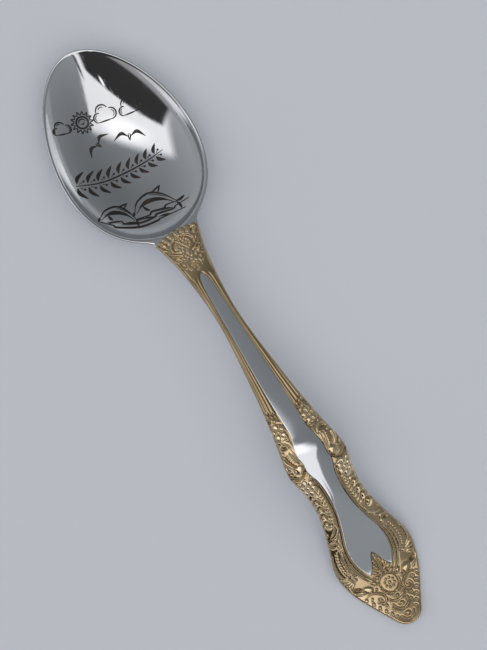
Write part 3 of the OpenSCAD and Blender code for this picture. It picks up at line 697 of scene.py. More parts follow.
def draw_upper(r):
    # eye above the flower, the flower, and its leaf
    r.pit(4.25, 88.8, 0.42, 0.34, 0, 0.4)
    r.dome("upper_flower", 3.3, 89.0, 0.36, 0.5, -30, 0.34, halo=0.25)
    r.flower("upper_flower", 3.75, 91.35, 5, 1.15, 0.68, 0.42, 0.44, start=20)
    r.dome("upper_flower", 4.9, 93.2, 0.36, 0.6, 60, 0.26, halo=0.25)
    r.dome("upper_flower", 2.75, 93.1, 0.3, 0.62, -25, 0.28, halo=0.2)
    # C-scroll with its pit
    r.pit(4.5, 94.85, 0.85, 0.48, -20, 0.55)
    r.ridge("middle_scroll", [(5.55, 95.2), (5.1, 94.2), (4.3, 93.95), (3.6, 94.5), (3.25, 95.4)], 0.4,
            0.4, 0.5,
            halo=0.3)
    r.dome("middle_scroll", 5.45, 95.75, 0.42, h=0.4, halo=0.32)
    r.pit(5.45, 95.75, 0.16, depth=0.18)
    # bright inner crescent and the notched band inside it
    r.groove([(5.35, 96.6), (5.25, 97.6), (4.8, 98.7), (4.2, 99.4)], 0.5, 0.4)
    r.ridge("middle_scroll", [(5.95, 96.2), (5.9, 97.4), (5.45, 98.5), (4.65, 99.4)], 0.75, 0.5, 0.3,
            halo=0.3)
    for i in range(5):
        r.ridge("middle_scroll", [(5.1 - 0.12 * i, 96.5 + 0.5 * i), (4.75 - 0.1 * i, 96.35 + 0.5 * i),
                                  (4.4 - 0.08 * i, 96.45 + 0.5 * i)], 0.26, 0.26, 0.6, halo=0.25, rim=0.1)
    r.ridge("middle_scroll", [(4.15, 96.0), (3.9, 97.0), (3.7, 98.2), (3.35, 99.1)], 0.36, 0.36, 0.4,
            halo=0.3)
    r.ridge("middle_scroll", [(3.45, 95.8), (3.3, 97.0), (3.2, 98.2), (3.05, 99.0)], 0.24, 0.26, 0.5,
            halo=0.22)
    # outer S-lines and the smooth round lobe
    r.ridge("middle_scroll", [(6.35, 98.2), (6.35, 99.1), (5.9, 99.75), (5.15, 99.5)], 0.34, 0.38, 0.4,
            halo=0.3)
    r.ridge("middle_scroll", [(6.3, 100.0), (5.8, 100.6), (5.0, 100.4), (4.9, 99.9)], 0.28, 0.3, 0.4,
            halo=0.25)
    r.dome("middle_scroll", 4.1, 100.15, 1.05, 0.9, 20, 0.5, halo=0.34)
    r.groove([(6.4, 101.0), (5.2, 101.95), (4.0, 101.75), (3.1, 100.95)], 1.0, 0.55)
    r.ridge("middle_scroll", [(2.95, 100.4), (3.05, 101.3), (3.9, 102.05), (4.9, 102.2)], 0.26, 0.3, 0.4,
            halo=0.1)


def draw_lower(r):
    r.flower("lower_flower", 4.5, 104.5, 6, 1.3, 0.72, 0.52, 0.5, start=10)
    r.pit(3.4, 103.1, 0.3, 0.26, 0, 0.2)
    r.dome("lower_flower", 5.75, 102.85, 0.3, 0.5, 50, 0.28, halo=0.25)
    # double line beside the panel
    r.ridge("border", [(2.75, 102.6), (2.35, 104), (2.08, 106.5), (2.05, 109), (2.3, 112), (2.85, 114.2),
                       (3.5, 116.3), (4.2, 118.3), (4.62, 120.4), (4.72, 122.3), (4.45, 124.2), (3.9, 125.9),
                       (3.1, 127.5), (2.3, 128.5)], 0.36, 0.32, 0.6, halo=0.2, rim=0.12, steps=90)
    r.groove([(3.1, 103.2), (2.72, 104.6), (2.5, 106.5), (2.45, 109), (2.7, 111.8), (3.2, 114)], 0.24, 0.2,
             steps=40)
    # bead row in its channel
    beads = [(3.25, 106.5), (2.98, 107.8), (2.95, 109.4), (3.15, 111), (3.5, 112.6)]
    r.groove(beads, 0.8, 0.2, steps=30)
    for m, s in path(beads, 8):
        r.dome("bead_rows", m, s, 0.3, h=0.36, halo=0.12, rim=0.1)
    # leaf flutes that sweep out to the edge
    for i in range(4):
        s, m = 106.9 + 1.65 * i, 0.05 * i * i
        r.groove([(3.85 + m, s + 1.5), (4.2 + m, s + 0.8), (4.8 + m, s + 0.62), (5.5 + m, s + 1.0)], 0.8,
                 0.55)
        r.ridge("leaves", [(3.7 + m, s + 1.3), (4.0 + m, s + 0.35), (4.7 + m, s), (5.5 + m, s + 0.3)],
                0.42, 0.46,
                0.4, halo=0.1)
        r.ridge("leaves", [(4.3 + m, s + 1.75), (4.65 + m, s + 1.25), (5.1 + m, s + 1.15)], 0.26, 0.3, 0.4,
                halo=0.12)
    r.ridge("leaves", [(5.7, 112.8), (5.5, 113.6), (5.0, 114.1), (4.4, 114.2)], 0.42, 0.36, 0.3, halo=0.28)
    # pointed leaf and the dot beside it
    r.ridge("leaves", [(3.5, 114.0), (3.85, 115.0), (4.8, 115.75), (6.1, 116.0)], 0.95, 0.55, 0.12,
            halo=0.36)
    r.groove([(3.9, 114.8), (4.8, 115.65), (5.8, 115.95)], 0.2, 0.22)
    r.ridge("leaves", [(4.3, 115.9), (4.9, 116.5), (5.7, 116.7)], 0.3, 0.28, 0.3, halo=0.22)
    r.dome("leaves", 6.25, 115.0, 0.26, 0.4, -20, 0.26, halo=0.25)


def draw_shoulder(r):
    # scroll head with a hooded eye
    r.pit(6.15, 117.75, 0.9, 0.48, 8, 0.6)
    r.ridge("leaves", [(5.2, 117.9), (5.5, 117.1), (6.2, 116.85), (6.95, 117.15), (7.2, 117.9)], 0.4,
            0.42, 0.5,
            halo=0.25)
    r.dome("leaves", 5.25, 118.3, 0.34, 0.46, 20, 0.34, halo=0.25)
    # bead row in a crescent field, and the outer ridge
    beads = [(6.45, 119.2), (6.9, 120.6), (7.1, 122.1), (7.0, 123.6), (6.65, 124.7)]
    r.groove(beads, 1.1, 0.16, steps=30)
    for m, s in path(beads, 9):
        r.dome("bead_rows", m, s, 0.25, h=0.32, halo=0.1, rim=0.09)
    r.ridge("leaves", [(7.35, 118.6), (7.95, 120), (8.3, 121.7), (8.35, 123.3), (7.9, 124.7),
                       (6.95, 125.4)], 0.44,
            0.36, 0.3, halo=0.24)
    r.ridge("leaves", [(5.75, 119.0), (6.0, 120.6), (6.1, 122.4), (5.95, 124.2), (5.4, 125.6)], 0.36,
            0.32, 0.4,
            halo=0.24)
    r.ridge("leaves", [(5.1, 119.4), (5.4, 121.4), (5.4, 123.2), (5.0, 125), (4.3, 126.6), (3.6, 128.0)],
            0.38,
            0.36, 0.4, halo=0.24, steps=50)
    # shell at the shoulder: flutes that meet at an eye
    for i, (m, s) in enumerate(((8.75, 124.6), (8.6, 125.7), (8.25, 126.8), (7.7, 127.7))):
        r.ridge("leaves", [(6.6 - 0.05 * i, 126.0 + 0.2 * i), ((6.6 + m) / 2 + 0.1,
                                                               (126.3 + s) / 2 - 0.1 + 0.1 * i),
                           (m, s)], 0.52, 0.36, 0.35, halo=0.3)
    r.dome("leaves", 6.15, 126.1, 0.46, h=0.42, halo=0.32)
    r.pit(6.15, 126.1, 0.17, depth=0.16)
    r.dome("crest_beads", 4.7, 129.4, 0.72, 1.1, 62, 0.5, halo=0.34)
    r.pit(6.75, 128.4, 1.35, 0.62, -26, 0.65)
    r.ridge("crest_scrolls", [(7.6, 128.9), (6.6, 129.6), (5.6, 129.9)], 0.36, 0.34, 0.3, halo=0.2)


def draw_crest(r):
    # rosette with two rings of beads
    r.dome("crest_rosette", 0, 130.3, 1.95, h=0.12, halo=0.26, rim=0.25)
    r.dome("crest_rosette", 0, 130.3, 0.36, h=0.32, halo=0.22)
    for i in range(8):
        r.dome("crest_rosette", *around(0, 130.3, 22.5 + 45 * i, 1.02), 0.29, h=0.3, halo=0.2, rim=0.1)
    for start, stop in ((-100, -20), (-4, 84)):
        r.ridge("crest_rosette", arc((0, 130.3), 2.2, start, stop, 5), 0.36, 0.36, 0.5, halo=0.26)
    # palmette that stands over the panel's end
    r.ridge("crest_palmette", [(0, 127.6), (0, 126.2), (0, 124.3), (0, 123.6)], 0.62, 0.42, 0.35, halo=0.2)
    r.dome("crest_palmette", 0, 124.3, 0.42, 0.5, 0, 0.36, halo=0.2)
    for m, s, turn, size in ((0.95, 126.1, -32, 0.85), (1.6, 127.1, -55, 0.8), (0.62, 125.1, -20, 0.5)):
        r.dome("crest_palmette", m, s, 0.3, size, -turn, 0.4, halo=0.26)
    r.dome("crest_palmette", 0.55, 127.75, 0.34, 0.5, -60, 0.34, halo=0.24)
    r.dome("crest_palmette", 1.75, 128.15, 0.36, 0.62, 70, 0.36, halo=0.26)
    r.dome("crest_palmette", 2.9, 128.9, 0.4, 0.66, 50, 0.38, halo=0.28)
    r.dome("crest_beads", 3.1, 130.2, 0.3, h=0.28, halo=0.24)
    # pair of C-scrolls
    r.ridge("crest_scrolls", [(5.6, 130.6), (4.6, 130.35), (3.5, 130.8), (2.5, 131.7), (2.3, 132.8),
                              (3.1, 133.5),
                              (4.0, 133.0), (3.8, 132.2), (3.2, 132.3)], 0.4, 0.4, 0.45, halo=0.3, steps=60)
    r.dome("crest_scrolls", 3.35, 132.75, 0.28, h=0.34, halo=0.2)
    r.ridge("crest_scrolls", [(1.9, 133.0), (1.5, 133.8), (0.8, 134.1), (0, 134.2)], 0.3, 0.3, 0.4,
            halo=0.24)
    r.dome("crest_scrolls", 0, 133.4, 0.42, 0.34, 0, 0.3, halo=0.22)
    r.ridge("crest_scrolls", [(1.75, 134.6), (1.45, 135.6), (0.8, 136.15), (0, 136.35)], 0.46, 0.42, 0.5,
            halo=0.3)
    r.dome("crest_scrolls", 0, 135.2, 0.5, 0.36, 0, 0.26, halo=0.2)
    # drop, beads along the edge and the tip's rim
    r.dome("crest_beads", 0, 137.6, 0.6, 0.44, 0, 0.4, halo=0.26)
    r.ridge("crest_beads", [(1.5, 137.6), (0.9, 138.5), (0, 138.8)], 0.34, 0.34, 0.5, halo=0.22)
    for m, s, size in ((6.2, 131.2, 0.5), (5.3, 132.6, 0.46), (4.55, 133.9, 0.44), (3.75, 135.1, 0.42),
                       (3.0, 136.2, 0.4), (2.3, 137.2, 0.34)):
        r.dome("crest_beads", m, s, size * 0.8, size, -33, 0.36, halo=0.3, rim=0.13)
    for m, s in ((3.0, 134.2), (2.2, 135.4), (5.0, 131.6)):
        r.dome("crest_beads", m, s, 0.26, 0.4, -33, 0.28, halo=0.22)


def build_relief():
    r = Relief()
    draw_neck(r)
    draw_reeds(r)
    draw_upper(r)
    draw_lower(r)
    draw_shoulder(r)
    draw_crest(r)
    # crisp on the reeds, worn down on the rest
    depth = curve([(46, 0.55), (58, 0.9), (88, 0.8), (94, 0.58), (114, 0.56), (120, 0.6), (128, 0.66)],
                  RS / U)
    r.z = np.clip(r.base + (r.z - r.base) * depth, 0.03, 1.0)
    r.smooth(1.9)
    return r


# ---- relief: pieces ----


def relief_grid():
    """(n, s) of a grid over the plating, in rows across the handle from side to side."""
    first = 43.2 * U
    tip = LENGTH - TIP_R + TIP_R * np.sin(np.linspace(TIP_TAPER, math.radians(88.5), 40))
    s = np.concatenate([np.arange(first, TIP_FROM - 0.06, 0.1), tip])
    w = half_w(s)
    near = np.array([0, 0.015, 0.05, 0.11, 0.19])
    share = np.linspace(0, 1, 72)
    rows = []
    for wi in w:
        e = near * min(1, wi / 0.6)
        inner = (wi - e[-1]) * share[:-1]
        half = np.concatenate([inner, (wi - e)[::-1]])
        rows.append(np.concatenate([-half[:0:-1], half]))
    n = np.array(rows)
    return n, np.repeat(s[:, None], n.shape[1], 1)


def snap(n, s, side):
    """Moves grid points that lie close to the line where side is 0 onto it."""
    step = 0.01
    for _ in range(2):
        f = side(np.abs(n), s)
        fn = (side(np.abs(n + step), s) - side(np.abs(n - step), s)) / (2 * step)
        fs = (side(np.abs(n), s + step) - side(np.abs(n), s - step)) / (2 * step)
        slope2 = np.maximum(fn * fn + fs * fs, 0.05)
        dn, ds = -f * fn / slope2, -f * fs / slope2
        reach_n = np.maximum(np.gradient(n, axis=1), 1e-3) * 0.62
        reach_s = np.maximum(np.gradient(s, axis=0), 1e-3) * 0.62
        close = (np.abs(dn) / reach_n + np.abs(ds) / reach_s) < 1
        close[:, [0, -1]] = False
        n, s = np.where(close, n + dn, n), np.where(close, s + ds, s)
    return n, s


def shell(top, bottom, triangles):
    """Closed solid over some triangles of a grid, of which those that meet at a corner only stay apart.

    Returns its points, its faces, which grid point each upper point is, and how many those are.
    """
    a, b = triangles.reshape(-1), np.roll(triangles, -1, axis=1).reshape(-1)
    size = len(top) + 1
    key, back = a.astype(np.int64) * size + b, b.astype(np.int64) * size + a
    sort = np.argsort(key)
    found = np.clip(np.searchsorted(key[sort], back), 0, len(key) - 1)
    twin = np.where(key[sort][found] == back, sort[found], -1)
    # corners of one point that neighbouring triangles share become one point
    label = np.arange(len(a))
    following = np.roll(label.reshape(-1, 3), -1, axis=1).reshape(-1)
    inner = np.flatnonzero(twin >= 0)
    mate = twin[inner]
    pairs_a = np.concatenate([inner, following[inner]])
    pairs_b = np.concatenate([following[mate], mate])
    for _ in range(10):
        low = np.minimum(label[pairs_a], label[pairs_b])
        np.minimum.at(label, pairs_a, low)
        np.minimum.at(label, pairs_b, low)
    names, index = np.unique(label, return_inverse=True)
    count, grid_index, tri = len(names), a[names], index.reshape(-1, 3)
    rim = np.flatnonzero(twin < 0)
    e0, e1 = index[rim], index[following[rim]]
    walls = np.stack([e1, e0, e0 + count, e1 + count], 1)
    points = np.concatenate([top[grid_index], bottom[grid_index]])
    return points, [tri, tri[:, ::-1] + count, walls], grid_index, count

def panel_height(n, s):
    """The mirror panel's height above the blank.

    It is nearly level across the shank, crowned at the waist and level again at its wide end. Past
    the top of the arch it leans a little to the right, and a low swell crosses it slantwise.
    """
    at = s / U
    p, w = np.maximum(panel_edge(s), 0.3), np.maximum(half_w(s), 0.01)
    level = crown(s) * ((n / w) ** 2 - 0.75 * (p / w) ** 2)
    drop = curve([(54, 0.03), (70, 0.05), (84, 0.08), (92, 0.14), (97, 0.26), (104, 0.32), (108, 0.28),
                  (112, 0.05), (127, 0)], at)
    lean = curve([(94, 0), (98, 0.05), (107, 0.05), (113, 0)], at)
    swell = 0.13 * np.exp(-((at - 96.3 - 0.11 * (n + 4) ** 2) / 3.4) ** 2)
    return 0.26 + level - drop * ((n / p) ** 2 - 0.6) + swell - lean * n

def relief_pieces(r):
    n, s = snap(*snap(*relief_grid(), panel_side), neck_side)
    rows, cols = n.shape
    flat = np.stack([n, s], -1).reshape(-1, 2)
    fn, fs = flat[:, 0], flat[:, 1]
    edge, ground, gold_h = edge_distance(fs, fn), top_z(fs, fn), r.at(fn, fs)
    # painted shade: the reeds' and the crest's heights are scaled down, so the colour ramp gives their
    # plating a darker colour
    painted_shade_height = gold_h * (1 - 0.4 * ease((fs / U - 52) / 4) * ease((90 - fs / U) / 3))
    painted_shade_height = painted_shade_height * (1 - 0.22 * ease((fs / U - 126) / 2))
    # the plating thins out at the outline, over a rounded shoulder
    gold_z = ground + np.maximum(gold_h - rounding(edge, 0.5) * 0.95, 0.0) - 0.12 * (edge < 0.01)
    inside = panel_side(np.abs(fn), fs)
    panel_z = ground + panel_height(fn, fs) - 0.02 * ease(1 - inside / 0.12)
    bottom_z = ground - SINK - np.where(edge < 0.2, 0.1, 0)

    quad = quads(rows, cols)
    # two triangles a face, cut along the diagonal that follows the plating's edges and the relief
    on_edge = (np.abs(inside) < 0.004) | (np.abs(neck_side(np.abs(fn), fs)) < 0.004)
    rise = np.abs(gold_h[quad[:, 0]] - gold_h[quad[:, 2]]) - np.abs(gold_h[quad[:, 1]] - gold_h[quad[:, 3]])
    across = np.where(on_edge[quad[:, 0]] & on_edge[quad[:, 2]], False,
                      on_edge[quad[:, 1]] & on_edge[quad[:, 3]] | (rise > 0))
    first = np.where(across[:, None], quad[:, [0, 1, 3]], quad[:, [0, 1, 2]])
    second = np.where(across[:, None], quad[:, [1, 2, 3]], quad[:, [0, 2, 3]])
    tri = np.concatenate([first, second])
    middle = flat[tri].mean(1)
    quad_middle = flat[quad].mean(1)
    on_panel = panel_side(np.abs(middle[:, 0]), middle[:, 1]) > 0
    on_neck = neck_side(np.abs(middle[:, 0]), middle[:, 1]) > 0
    left = np.tile(quad_middle[:, 0] < 0, 2)
    group = np.where(on_panel, -1, np.tile(r.group_at(quad_middle[:, 0], quad_middle[:, 1]), 2))

    made = [("mirror_panel", on_panel, "mirror_steel")]
    for g in MIDDLE:
        name = g + "_plating" if g in ("neck", "crest") else g
        made.append((name, (group == NUMBER[g]) & on_neck, "gold_plate"))
    for g in SIDES:
        made.append((g + "_left", (group == NUMBER[g]) & left, "gold_plate"))
        made.append((g + "_right", (group == NUMBER[g]) & ~left, "gold_plate"))
    gold, panel, bottom = (np.stack([fn, fs, z], 1) for z in (gold_z, panel_z, bottom_z))
    for name, chosen, slot in made:
        points, faces, index, count = shell(panel if slot == "mirror_steel" else gold, bottom, tri[chosen])
        shade = np.concatenate([painted_shade_height[index], np.full(len(points) - count, 0.1)]) / 0.9
        piece(name, points, faces, slot, [name], relief=shade, sharp_angle=60)

# ---- engraving ----

MARK_TURN, MARK_CENTRE, MARK_T = math.radians(16), np.array([-2.0, 25.0]), 0.045


def picture(p):
    """A point of the picture, x to the right and y up, as (n, s)."""
    p = np.asarray(p, float)
    c, k = math.cos(MARK_TURN), math.sin(MARK_TURN)
    return MARK_CENTRE + np.stack([p[..., 0] * c + p[..., 1] * k, p[..., 0] * k - p[..., 1] * c], -1)


def placed(at, turn, size, points):
    points = np.asarray(points, float)
    c, k = math.cos(math.radians(turn)), math.sin(math.radians(turn))
    return np.asarray(at, float) + size * np.stack([points[:, 0] * c - points[:, 1] * k,
                                                    points[:, 0] * k + points[:, 1] * c], 1)


class Marks:
    """Strokes of one engraved motif, which lie on the inside of the bowl."""

    def __init__(self):
        self.points, self.faces, self.count = [], [], 0

    def stroke(self, line, w, taper=0.35):
        """A stroke along points of the picture, w wide in its middle."""
        line = picture(line)
        a, b = np.clip(np.arange(len(line)) - 1, 0, None), np.clip(np.arange(len(line)) + 1, None,
                                                                   len(line) - 1)
        d = line[b] - line[a]
        d /= np.linalg.norm(d, axis=1)[:, None]
        across = np.stack([-d[:, 1], d[:, 0]], 1)
        half = w / 2 * mix(taper, 1, np.sin(np.pi * np.linspace(0, 1, len(line))))
        sides = np.array([-1, -0.5, 0, 0.5, 1])
        at = line[:, None] + across[:, None] * (half[:, None] * sides)[:, :, None]
        n, s = at[..., 0], at[..., 1]
        ground = hollow_z(s, n)
        lift = MARK_T * np.array([0.5, 1, 1, 1, 0.5])
        rings = np.concatenate([np.stack([n, s, ground + lift], -1),
                                np.stack([n, s, ground - 0.02], -1)[:, ::-1]], 1)
        rows, cols = rings.shape[:2]
        ends = [np.arange(cols)[None, ::-1], ((rows - 1) * cols + np.arange(cols))[None, :]]
        body = quads(rows, cols, closed=True)
        self.points.append(rings.reshape(-1, 3))
        self.faces += [body + self.count] + [e + self.count for e in ends]
        self.count += rows * cols

    def draw(self, points, w, taper=0.35, steps=None):
        self.stroke(path(points, steps or 10 * (len(points) - 1)), w, taper)

    def draw_arc(self, centre, r, start, stop, w, taper=0.6):
        self.stroke(arc(centre, r, start, stop, max(8, int(abs(stop - start) / 6))), w, taper)

    def make(self, name):
        flipped = [f[:, ::-1] for f in self.faces]
        return piece(name, np.concatenate(self.points), flipped, "engraving", [name], sharp_angle=40)


def liner(marks, at, turn, size):
    """A function that draws lines of a motif, moved, turned and scaled to its place."""
    def line(points, w, taper=0.35):
        marks.draw(placed(at, turn, size, points), w, taper)
    return line

def cloud(marks, at, size):
    """Outlined cloud, size times 4.6 mm wide."""
    for x, y, r, start, stop in ((-1.35, -0.35, 0.95, 255, 70), (-0.35, 0.85, 1.25, 185, 25),
                                 (1.3, 0.05, 1.1, 100, -100)):
        centre = placed(at, 0, size, [(x, y)])[0]
        marks.draw_arc(centre, r * size, start, stop, 0.34)
        marks.draw_arc(centre, r * size * 0.62, start - 25, stop + 35, 0.2)
    marks.draw(placed(at, 0, size, [(-1.65, -1.25), (0, -1.15), (1.2, -1.05)]), 0.34)

def clouds():
    marks = Marks()
    cloud(marks, (-10.1, 9.9), 0.8)
    cloud(marks, (-0.6, 11.2), 1.06)
    cloud(marks, (4.9, 11.2), 1.0)
    marks.make("engraved_clouds")


def sun():
    marks, at = Marks(), np.array([-5.6, 10.7])
    marks.draw_arc(at, 1.25, 0, 359, 0.4, 1)
    marks.draw_arc(at, 0.75, 20, 200, 0.34, 0.3)
    marks.draw_arc(at, 0.35, 200, 380, 0.28, 0.3)
    for i in range(14):
        a = math.radians(360 * i / 14)
        tip, left, right = (at + r * np.array([math.cos(a + turn), math.sin(a + turn)])
                            for r, turn in ((2.45, 0), (1.6, 0.2), (1.6, -0.2)))
        marks.stroke(np.linspace(left, tip, 6), 0.26, 0.7)
        marks.stroke(np.linspace(right, tip, 6), 0.26, 0.7)
    marks.make("engraved_sun")


def gulls():
    marks = Marks()
    for at, turn, size in (((-3.6, 5.4), 42, 1.0), ((3.3, 5.5), -7, 1.08)):
        line = liner(marks, at, turn, size)
        for side in (-1, 1):
            line([(side * 0.25, 0), (side * 1.6, 0.5), (side * 3.2, -0.5)], 0.26)
            line([(side * 0.25, 0), (side * 1.6, 0.92), (side * 3.2, -0.5)], 0.36)
            line([(side * 0.4, 0.15), (side * 1.3, 0.6), (side * 2.2, 0.45)], 0.3, 0.2)
        for side in (-1, 1):
            line([(side * 0.16, 0.6), (side * 0.2, 0), (0, -0.9)], 0.3)
    marks.make("engraved_gulls")

def spray():
    """Leafy spray: one stem with leaves on both sides of it."""
    marks = Marks()
    stem = [(-10.4, -2.6), (-5.2, -2.8), (0, -2.0), (4.8, -0.9), (9.4, 0.6)]
    marks.draw(stem, 0.4)
    at = path(stem, 9)
    for i in range(9):
        ahead = at[i + 1] - at[i]
        for side in (-1, 1):
            lean = math.degrees(math.atan2(ahead[1], ahead[0])) + side * 62
            leaf = 3.7 - 0.14 * i
            marks.draw(placed(at[i], lean, leaf, [(0.15, 0), (0.5, side * 0.08), (1, -side * 0.1)]), 0.8,
                       0.15, 20)
            berry = placed(at[i], lean - side * 34, leaf * 0.5, [(0.5, 0), (1, 0)])
            marks.draw(berry, 0.14, 0.6, 6)
            marks.draw_arc(berry[1] + (berry[1] - berry[0]) * 0.14, 0.13, 0, 359, 0.24, 1)
    marks.make("engraved_spray")


def dolphin(marks, at, turn, size):
    line = liner(marks, at, turn, size)
    line([(-4.4, -2.6), (-3.6, -0.4), (-1.2, 1.1), (1.6, 0.5), (4.4, -1.6)], 0.46)      # back
    line([(-4.0, -2.9), (-2.6, -1.4), (0, -0.7), (2.4, -1.0), (4.2, -2.0)], 0.36)       # belly
    line([(-3.4, -1.7), (-1.6, -0.5), (1.0, -0.5), (3.2, -1.3)], 0.75, 0.1)              # dark flank
    line([(-2.6, -1.5), (-1.9, -2.3), (-1.2, -2.6)], 0.6, 0.3)                          # front fin
    line([(-0.6, 1.1), (0.5, 1.7), (1.5, 2.4)], 0.42)                                   # back fin
    line([(0.9, 0.85), (1.15, 1.5), (1.5, 2.4)], 0.36)
    line([(-4.5, -2.5), (-4.6, -3.4)], 0.6, 0.5)                                        # beak
    line([(4.3, -1.7), (5.2, -1.5), (6.2, -0.9)], 0.62)                                 # tail
    line([(4.4, -1.9), (5.0, -2.6), (5.3, -3.5)], 0.58)
    line([(-1.0, 0.75), (0.8, 0.4), (2.6, -0.4)], 0.2)


def dolphins():
    marks = Marks()
    dolphin(marks, (-2.9, -10.0), -22, 0.85)
    dolphin(marks, (4.9, -8.9), -6, 1.04)
    marks.make("engraved_dolphins")


def waves():
    """Bold stepped lines of water, nearly level."""
    marks = Marks()
    for line in ([(-7.8, -11.3), (-5.0, -12.8), (-4.2, -13.5), (0.4, -14.6), (4.4, -14.2), (5.2, -13.9),
                  (10.9, -13.1)],
                 [(-6.0, -11.9), (-3.2, -12.3), (-2.5, -13.1), (1.0, -13.7), (4.0, -13.2), (4.6, -12.7),
                  (8.2, -12.6), (8.9, -12.1), (12.0, -11.3)],
                 [(0.7, -12.6), (3.0, -12.5), (3.7, -11.9), (6.2, -11.9), (7.0, -11.3), (9.4, -11.2)]):
        marks.draw(line, 0.5, 0.3)
    for x, y in ((-4.6, -12.3), (-1.6, -13.2), (2.4, -13.1), (6.6, -12.2), (6.2, -13.5)):
        marks.draw([(x - 1.5, y + 0.05), (x, y + 0.12), (x + 1.6, y - 0.1)], 0.42, 0.1)
    marks.make("engraved_waves")


# ---- stage, light and camera ----

PICTURE_RIGHT, PICTURE_UP = Vector((0.852, -0.524, 0)), Vector((0.524, 0.852, 0))
FLOOR = (0.755, 0.787, 0.85)
WALL_TINT, CANOPY_TINT = (0.93, 0.965, 1.0, 1), (1.0, 0.98, 0.985, 1)
# strengths; the walls fade to the picture's right and to its top
WALLS, FADE_RIGHT, FADE_UP, LOW_LIGHT, CANOPY, HORIZON = 0.30, -0.07, -0.12, 0.08, 0.85, 0.42
# oval patches: middle (to the right, to the top), radii, turn, how much is flat; and the strength
GLOW, GLOW_LIGHT = (-0.15, -0.16, 0.55, 0.22, 4, 0.3), 0.40
LAMP, LAMP_LIGHT = (-0.05, -0.70, 0.035, 0.075, 20, 0.5), 1.4
SLIVER, SLIVER_DARK = (0.345, -0.80, 0.045, 0.24, 6, 0.45), 0.85
# lines a x + b y = c with their blur: the bright canopy and the dark figure lie on their low sides
CANOPY_SIDES = [(1.0, -0.12, 0.46, 0.02), (0.0, 1.0, 0.04, 0.08), (-1.0, 0.0, 0.84, 0.05)]
FIGURE_SIDES = [(0.42, 1.0, -0.665, 0.025), (1.0, 0.0, 0.22, 0.05), (-1.0, 0.468, 0.632, 0.03)]
FIGURE_DARK = 0.965

def studio():
    """Soft surroundings: grey walls, a bright canopy overhead and a dark figure to one side.

    Each is a set of directions, placed by how far a direction leans to the picture's right (x) and
    to its top (y).
    """
    world = bpy.data.worlds.new("studio")
    world.use_nodes = True
    nodes, links = world.node_tree.nodes, world.node_tree.links
    where = nodes.new("ShaderNodeTexCoord").outputs["Generated"]

    def maths(operation, *values):
        node = nodes.new("ShaderNodeMath")
        node.operation = operation
        for socket, value in zip(node.inputs, values):
            if isinstance(value, bpy.types.NodeSocket):
                links.new(value, socket)
            else:
                socket.default_value = value
        return node.outputs["Value"]

    def add(a, b):
        return maths("ADD", a, b)

    def times(a, b):
        return maths("MULTIPLY", a, b)

    def without(total, share, dark):
        return times(total, maths("SUBTRACT", 1.0, times(share, dark)))

    def lean(axis):
        node = nodes.new("ShaderNodeVectorMath")
        node.operation = "DOT_PRODUCT"
        links.new(where, node.inputs[0])
        node.inputs[1].default_value = axis
        return node.outputs["Value"]

    def soft(value, low, high):
        """0 at low, 1 at high and smooth between them."""
        node = nodes.new("ShaderNodeMapRange")
        node.interpolation_type = "SMOOTHSTEP"
        links.new(value, node.inputs["Value"])
        node.inputs["From Min"].default_value, node.inputs["From Max"].default_value = low, high
        return node.outputs["Result"]

    x, y, z = lean(PICTURE_RIGHT), lean(PICTURE_UP), lean((0, 0, 1))

    def patch(cx, cy, rx, ry, turn, core):
        """1 in the core of an oval, 0 outside it."""
        c, k = math.cos(math.radians(turn)), math.sin(math.radians(turn))
        dx, dy = maths("SUBTRACT", x, cx), maths("SUBTRACT", y, cy)
        along = add(times(dx, c / rx), times(dy, k / rx))
        over = maths("SUBTRACT", times(dy, c / ry), times(dx, k / ry))
        return soft(maths("SQRT", add(times(along, along), times(over, over))), 1.0, core)

    def region(sides):
        """1 on the low side of every one of a few lines, 0 past any of them."""
        inside = 1.0
        for a, b, c, blur in sides:
            inside = times(inside, soft(add(times(x, a), times(y, b)), c + blur, c - blur))
        return inside

    canopy = region(CANOPY_SIDES)
    total = add(WALLS, add(times(x, FADE_RIGHT), times(y, FADE_UP)))
    total = add(total, times(soft(z, 0.75, 0.1), LOW_LIGHT))
    total = add(total, times(canopy, CANOPY))
    total = add(total, times(patch(*GLOW), GLOW_LIGHT))
    total = without(total, patch(*SLIVER), SLIVER_DARK)
    total = without(total, region(FIGURE_SIDES), FIGURE_DARK)
    total = add(total, times(patch(*LAMP), LAMP_LIGHT))
    # plain near the horizon, where a low view looks past the spoon, and dark under the floor
    high = soft(z, 0.11, 0.2)
    total = add(times(total, high), times(maths("SUBTRACT", 1.0, high), HORIZON))
    total = times(total, soft(z, -0.05, -0.01))
    tint = nodes.new("ShaderNodeMix")
    tint.data_type = "RGBA"
    links.new(canopy, tint.inputs["Factor"])
    tint.inputs["A"].default_value, tint.inputs["B"].default_value = WALL_TINT, CANOPY_TINT
    background = nodes["Background"]
    links.new(tint.outputs["Result"], background.inputs["Color"])
    links.new(total, background.inputs["Strength"])
    bpy.context.scene.world = world

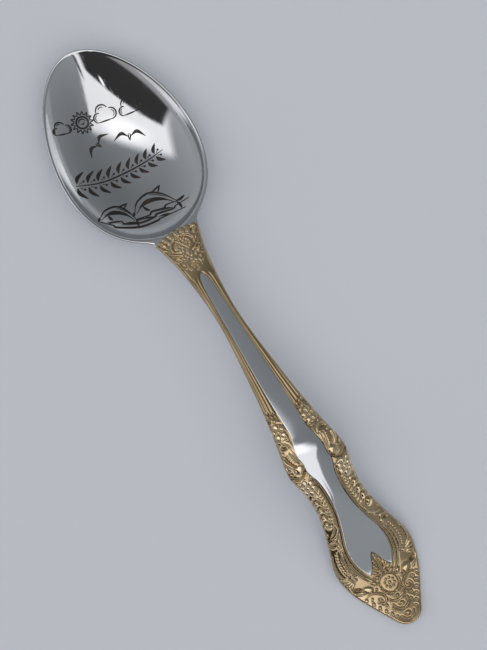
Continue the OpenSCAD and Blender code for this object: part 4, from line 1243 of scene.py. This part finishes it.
def stage():
    size = 4.0
    corners = [(-size, -size, 0), (size, -size, 0), (size, size, 0), (-size, size, 0)]
    mesh = bpy.data.meshes.new("floor")
    mesh.from_pydata(corners, [], [(0, 1, 2, 3)])
    paper, _, _, shader = material("floor_paper", FLOOR, 0.85, metallic=0.0)
    shader.inputs["Specular IOR Level"].default_value = 0.2
    mesh.materials.append(paper)
    floor = bpy.data.objects.new("floor", mesh)
    bpy.context.collection.objects.link(floor)
    studio()
    data = bpy.data.lights.new("key", "AREA")
    data.shape, data.size, data.energy, data.color = "SQUARE", 1.6, 3.0, (1, 0.985, 0.96)
    light = bpy.data.objects.new("key", data)
    at = PICTURE_RIGHT * 0.25 + PICTURE_UP * 0.18 + Vector((0, 0, 1.1))
    light.location = at
    light.rotation_euler = at.to_track_quat("Z", "Y").to_euler()
    light.visible_glossy = False
    bpy.context.collection.objects.link(light)

# in mm of the spoon's plane: how tall the view is, and where its middle is from the spoon's
VIEW_TALL, AIM_RIGHT, AIM_UP = 137.4, 0.85, 2.75
DISTANCE, AIM_HEIGHT, TILT = 0.42, 0.004, math.radians(4)

def camera():
    data = bpy.data.cameras.new("camera")
    cam = bpy.data.objects.new("camera", data)
    bpy.context.collection.objects.link(cam)
    data.sensor_fit, data.sensor_height = "VERTICAL", 24
    data.lens = data.sensor_height * DISTANCE / (VIEW_TALL * MM)
    data.clip_start, data.clip_end = 0.01, 20
    above = Vector((0, 0, 1))
    outward = above * math.cos(TILT) - PICTURE_UP * math.sin(TILT)
    up = PICTURE_UP * math.cos(TILT) + above * math.sin(TILT)
    aim = above * AIM_HEIGHT + (PICTURE_RIGHT * AIM_RIGHT + PICTURE_UP * AIM_UP) * MM
    axes = Matrix((PICTURE_RIGHT, up, outward)).transposed()
    cam.matrix_world = Matrix.Translation(aim + outward * DISTANCE) @ axes.to_4x4()
    bpy.context.scene.camera = cam
    bpy.context.scene.view_settings.view_transform = "Standard"

camera()
stage()
bowl()
handle_blank()
relief_pieces(build_relief())
clouds()
sun()
gulls()
spray()
dolphins()
waves()
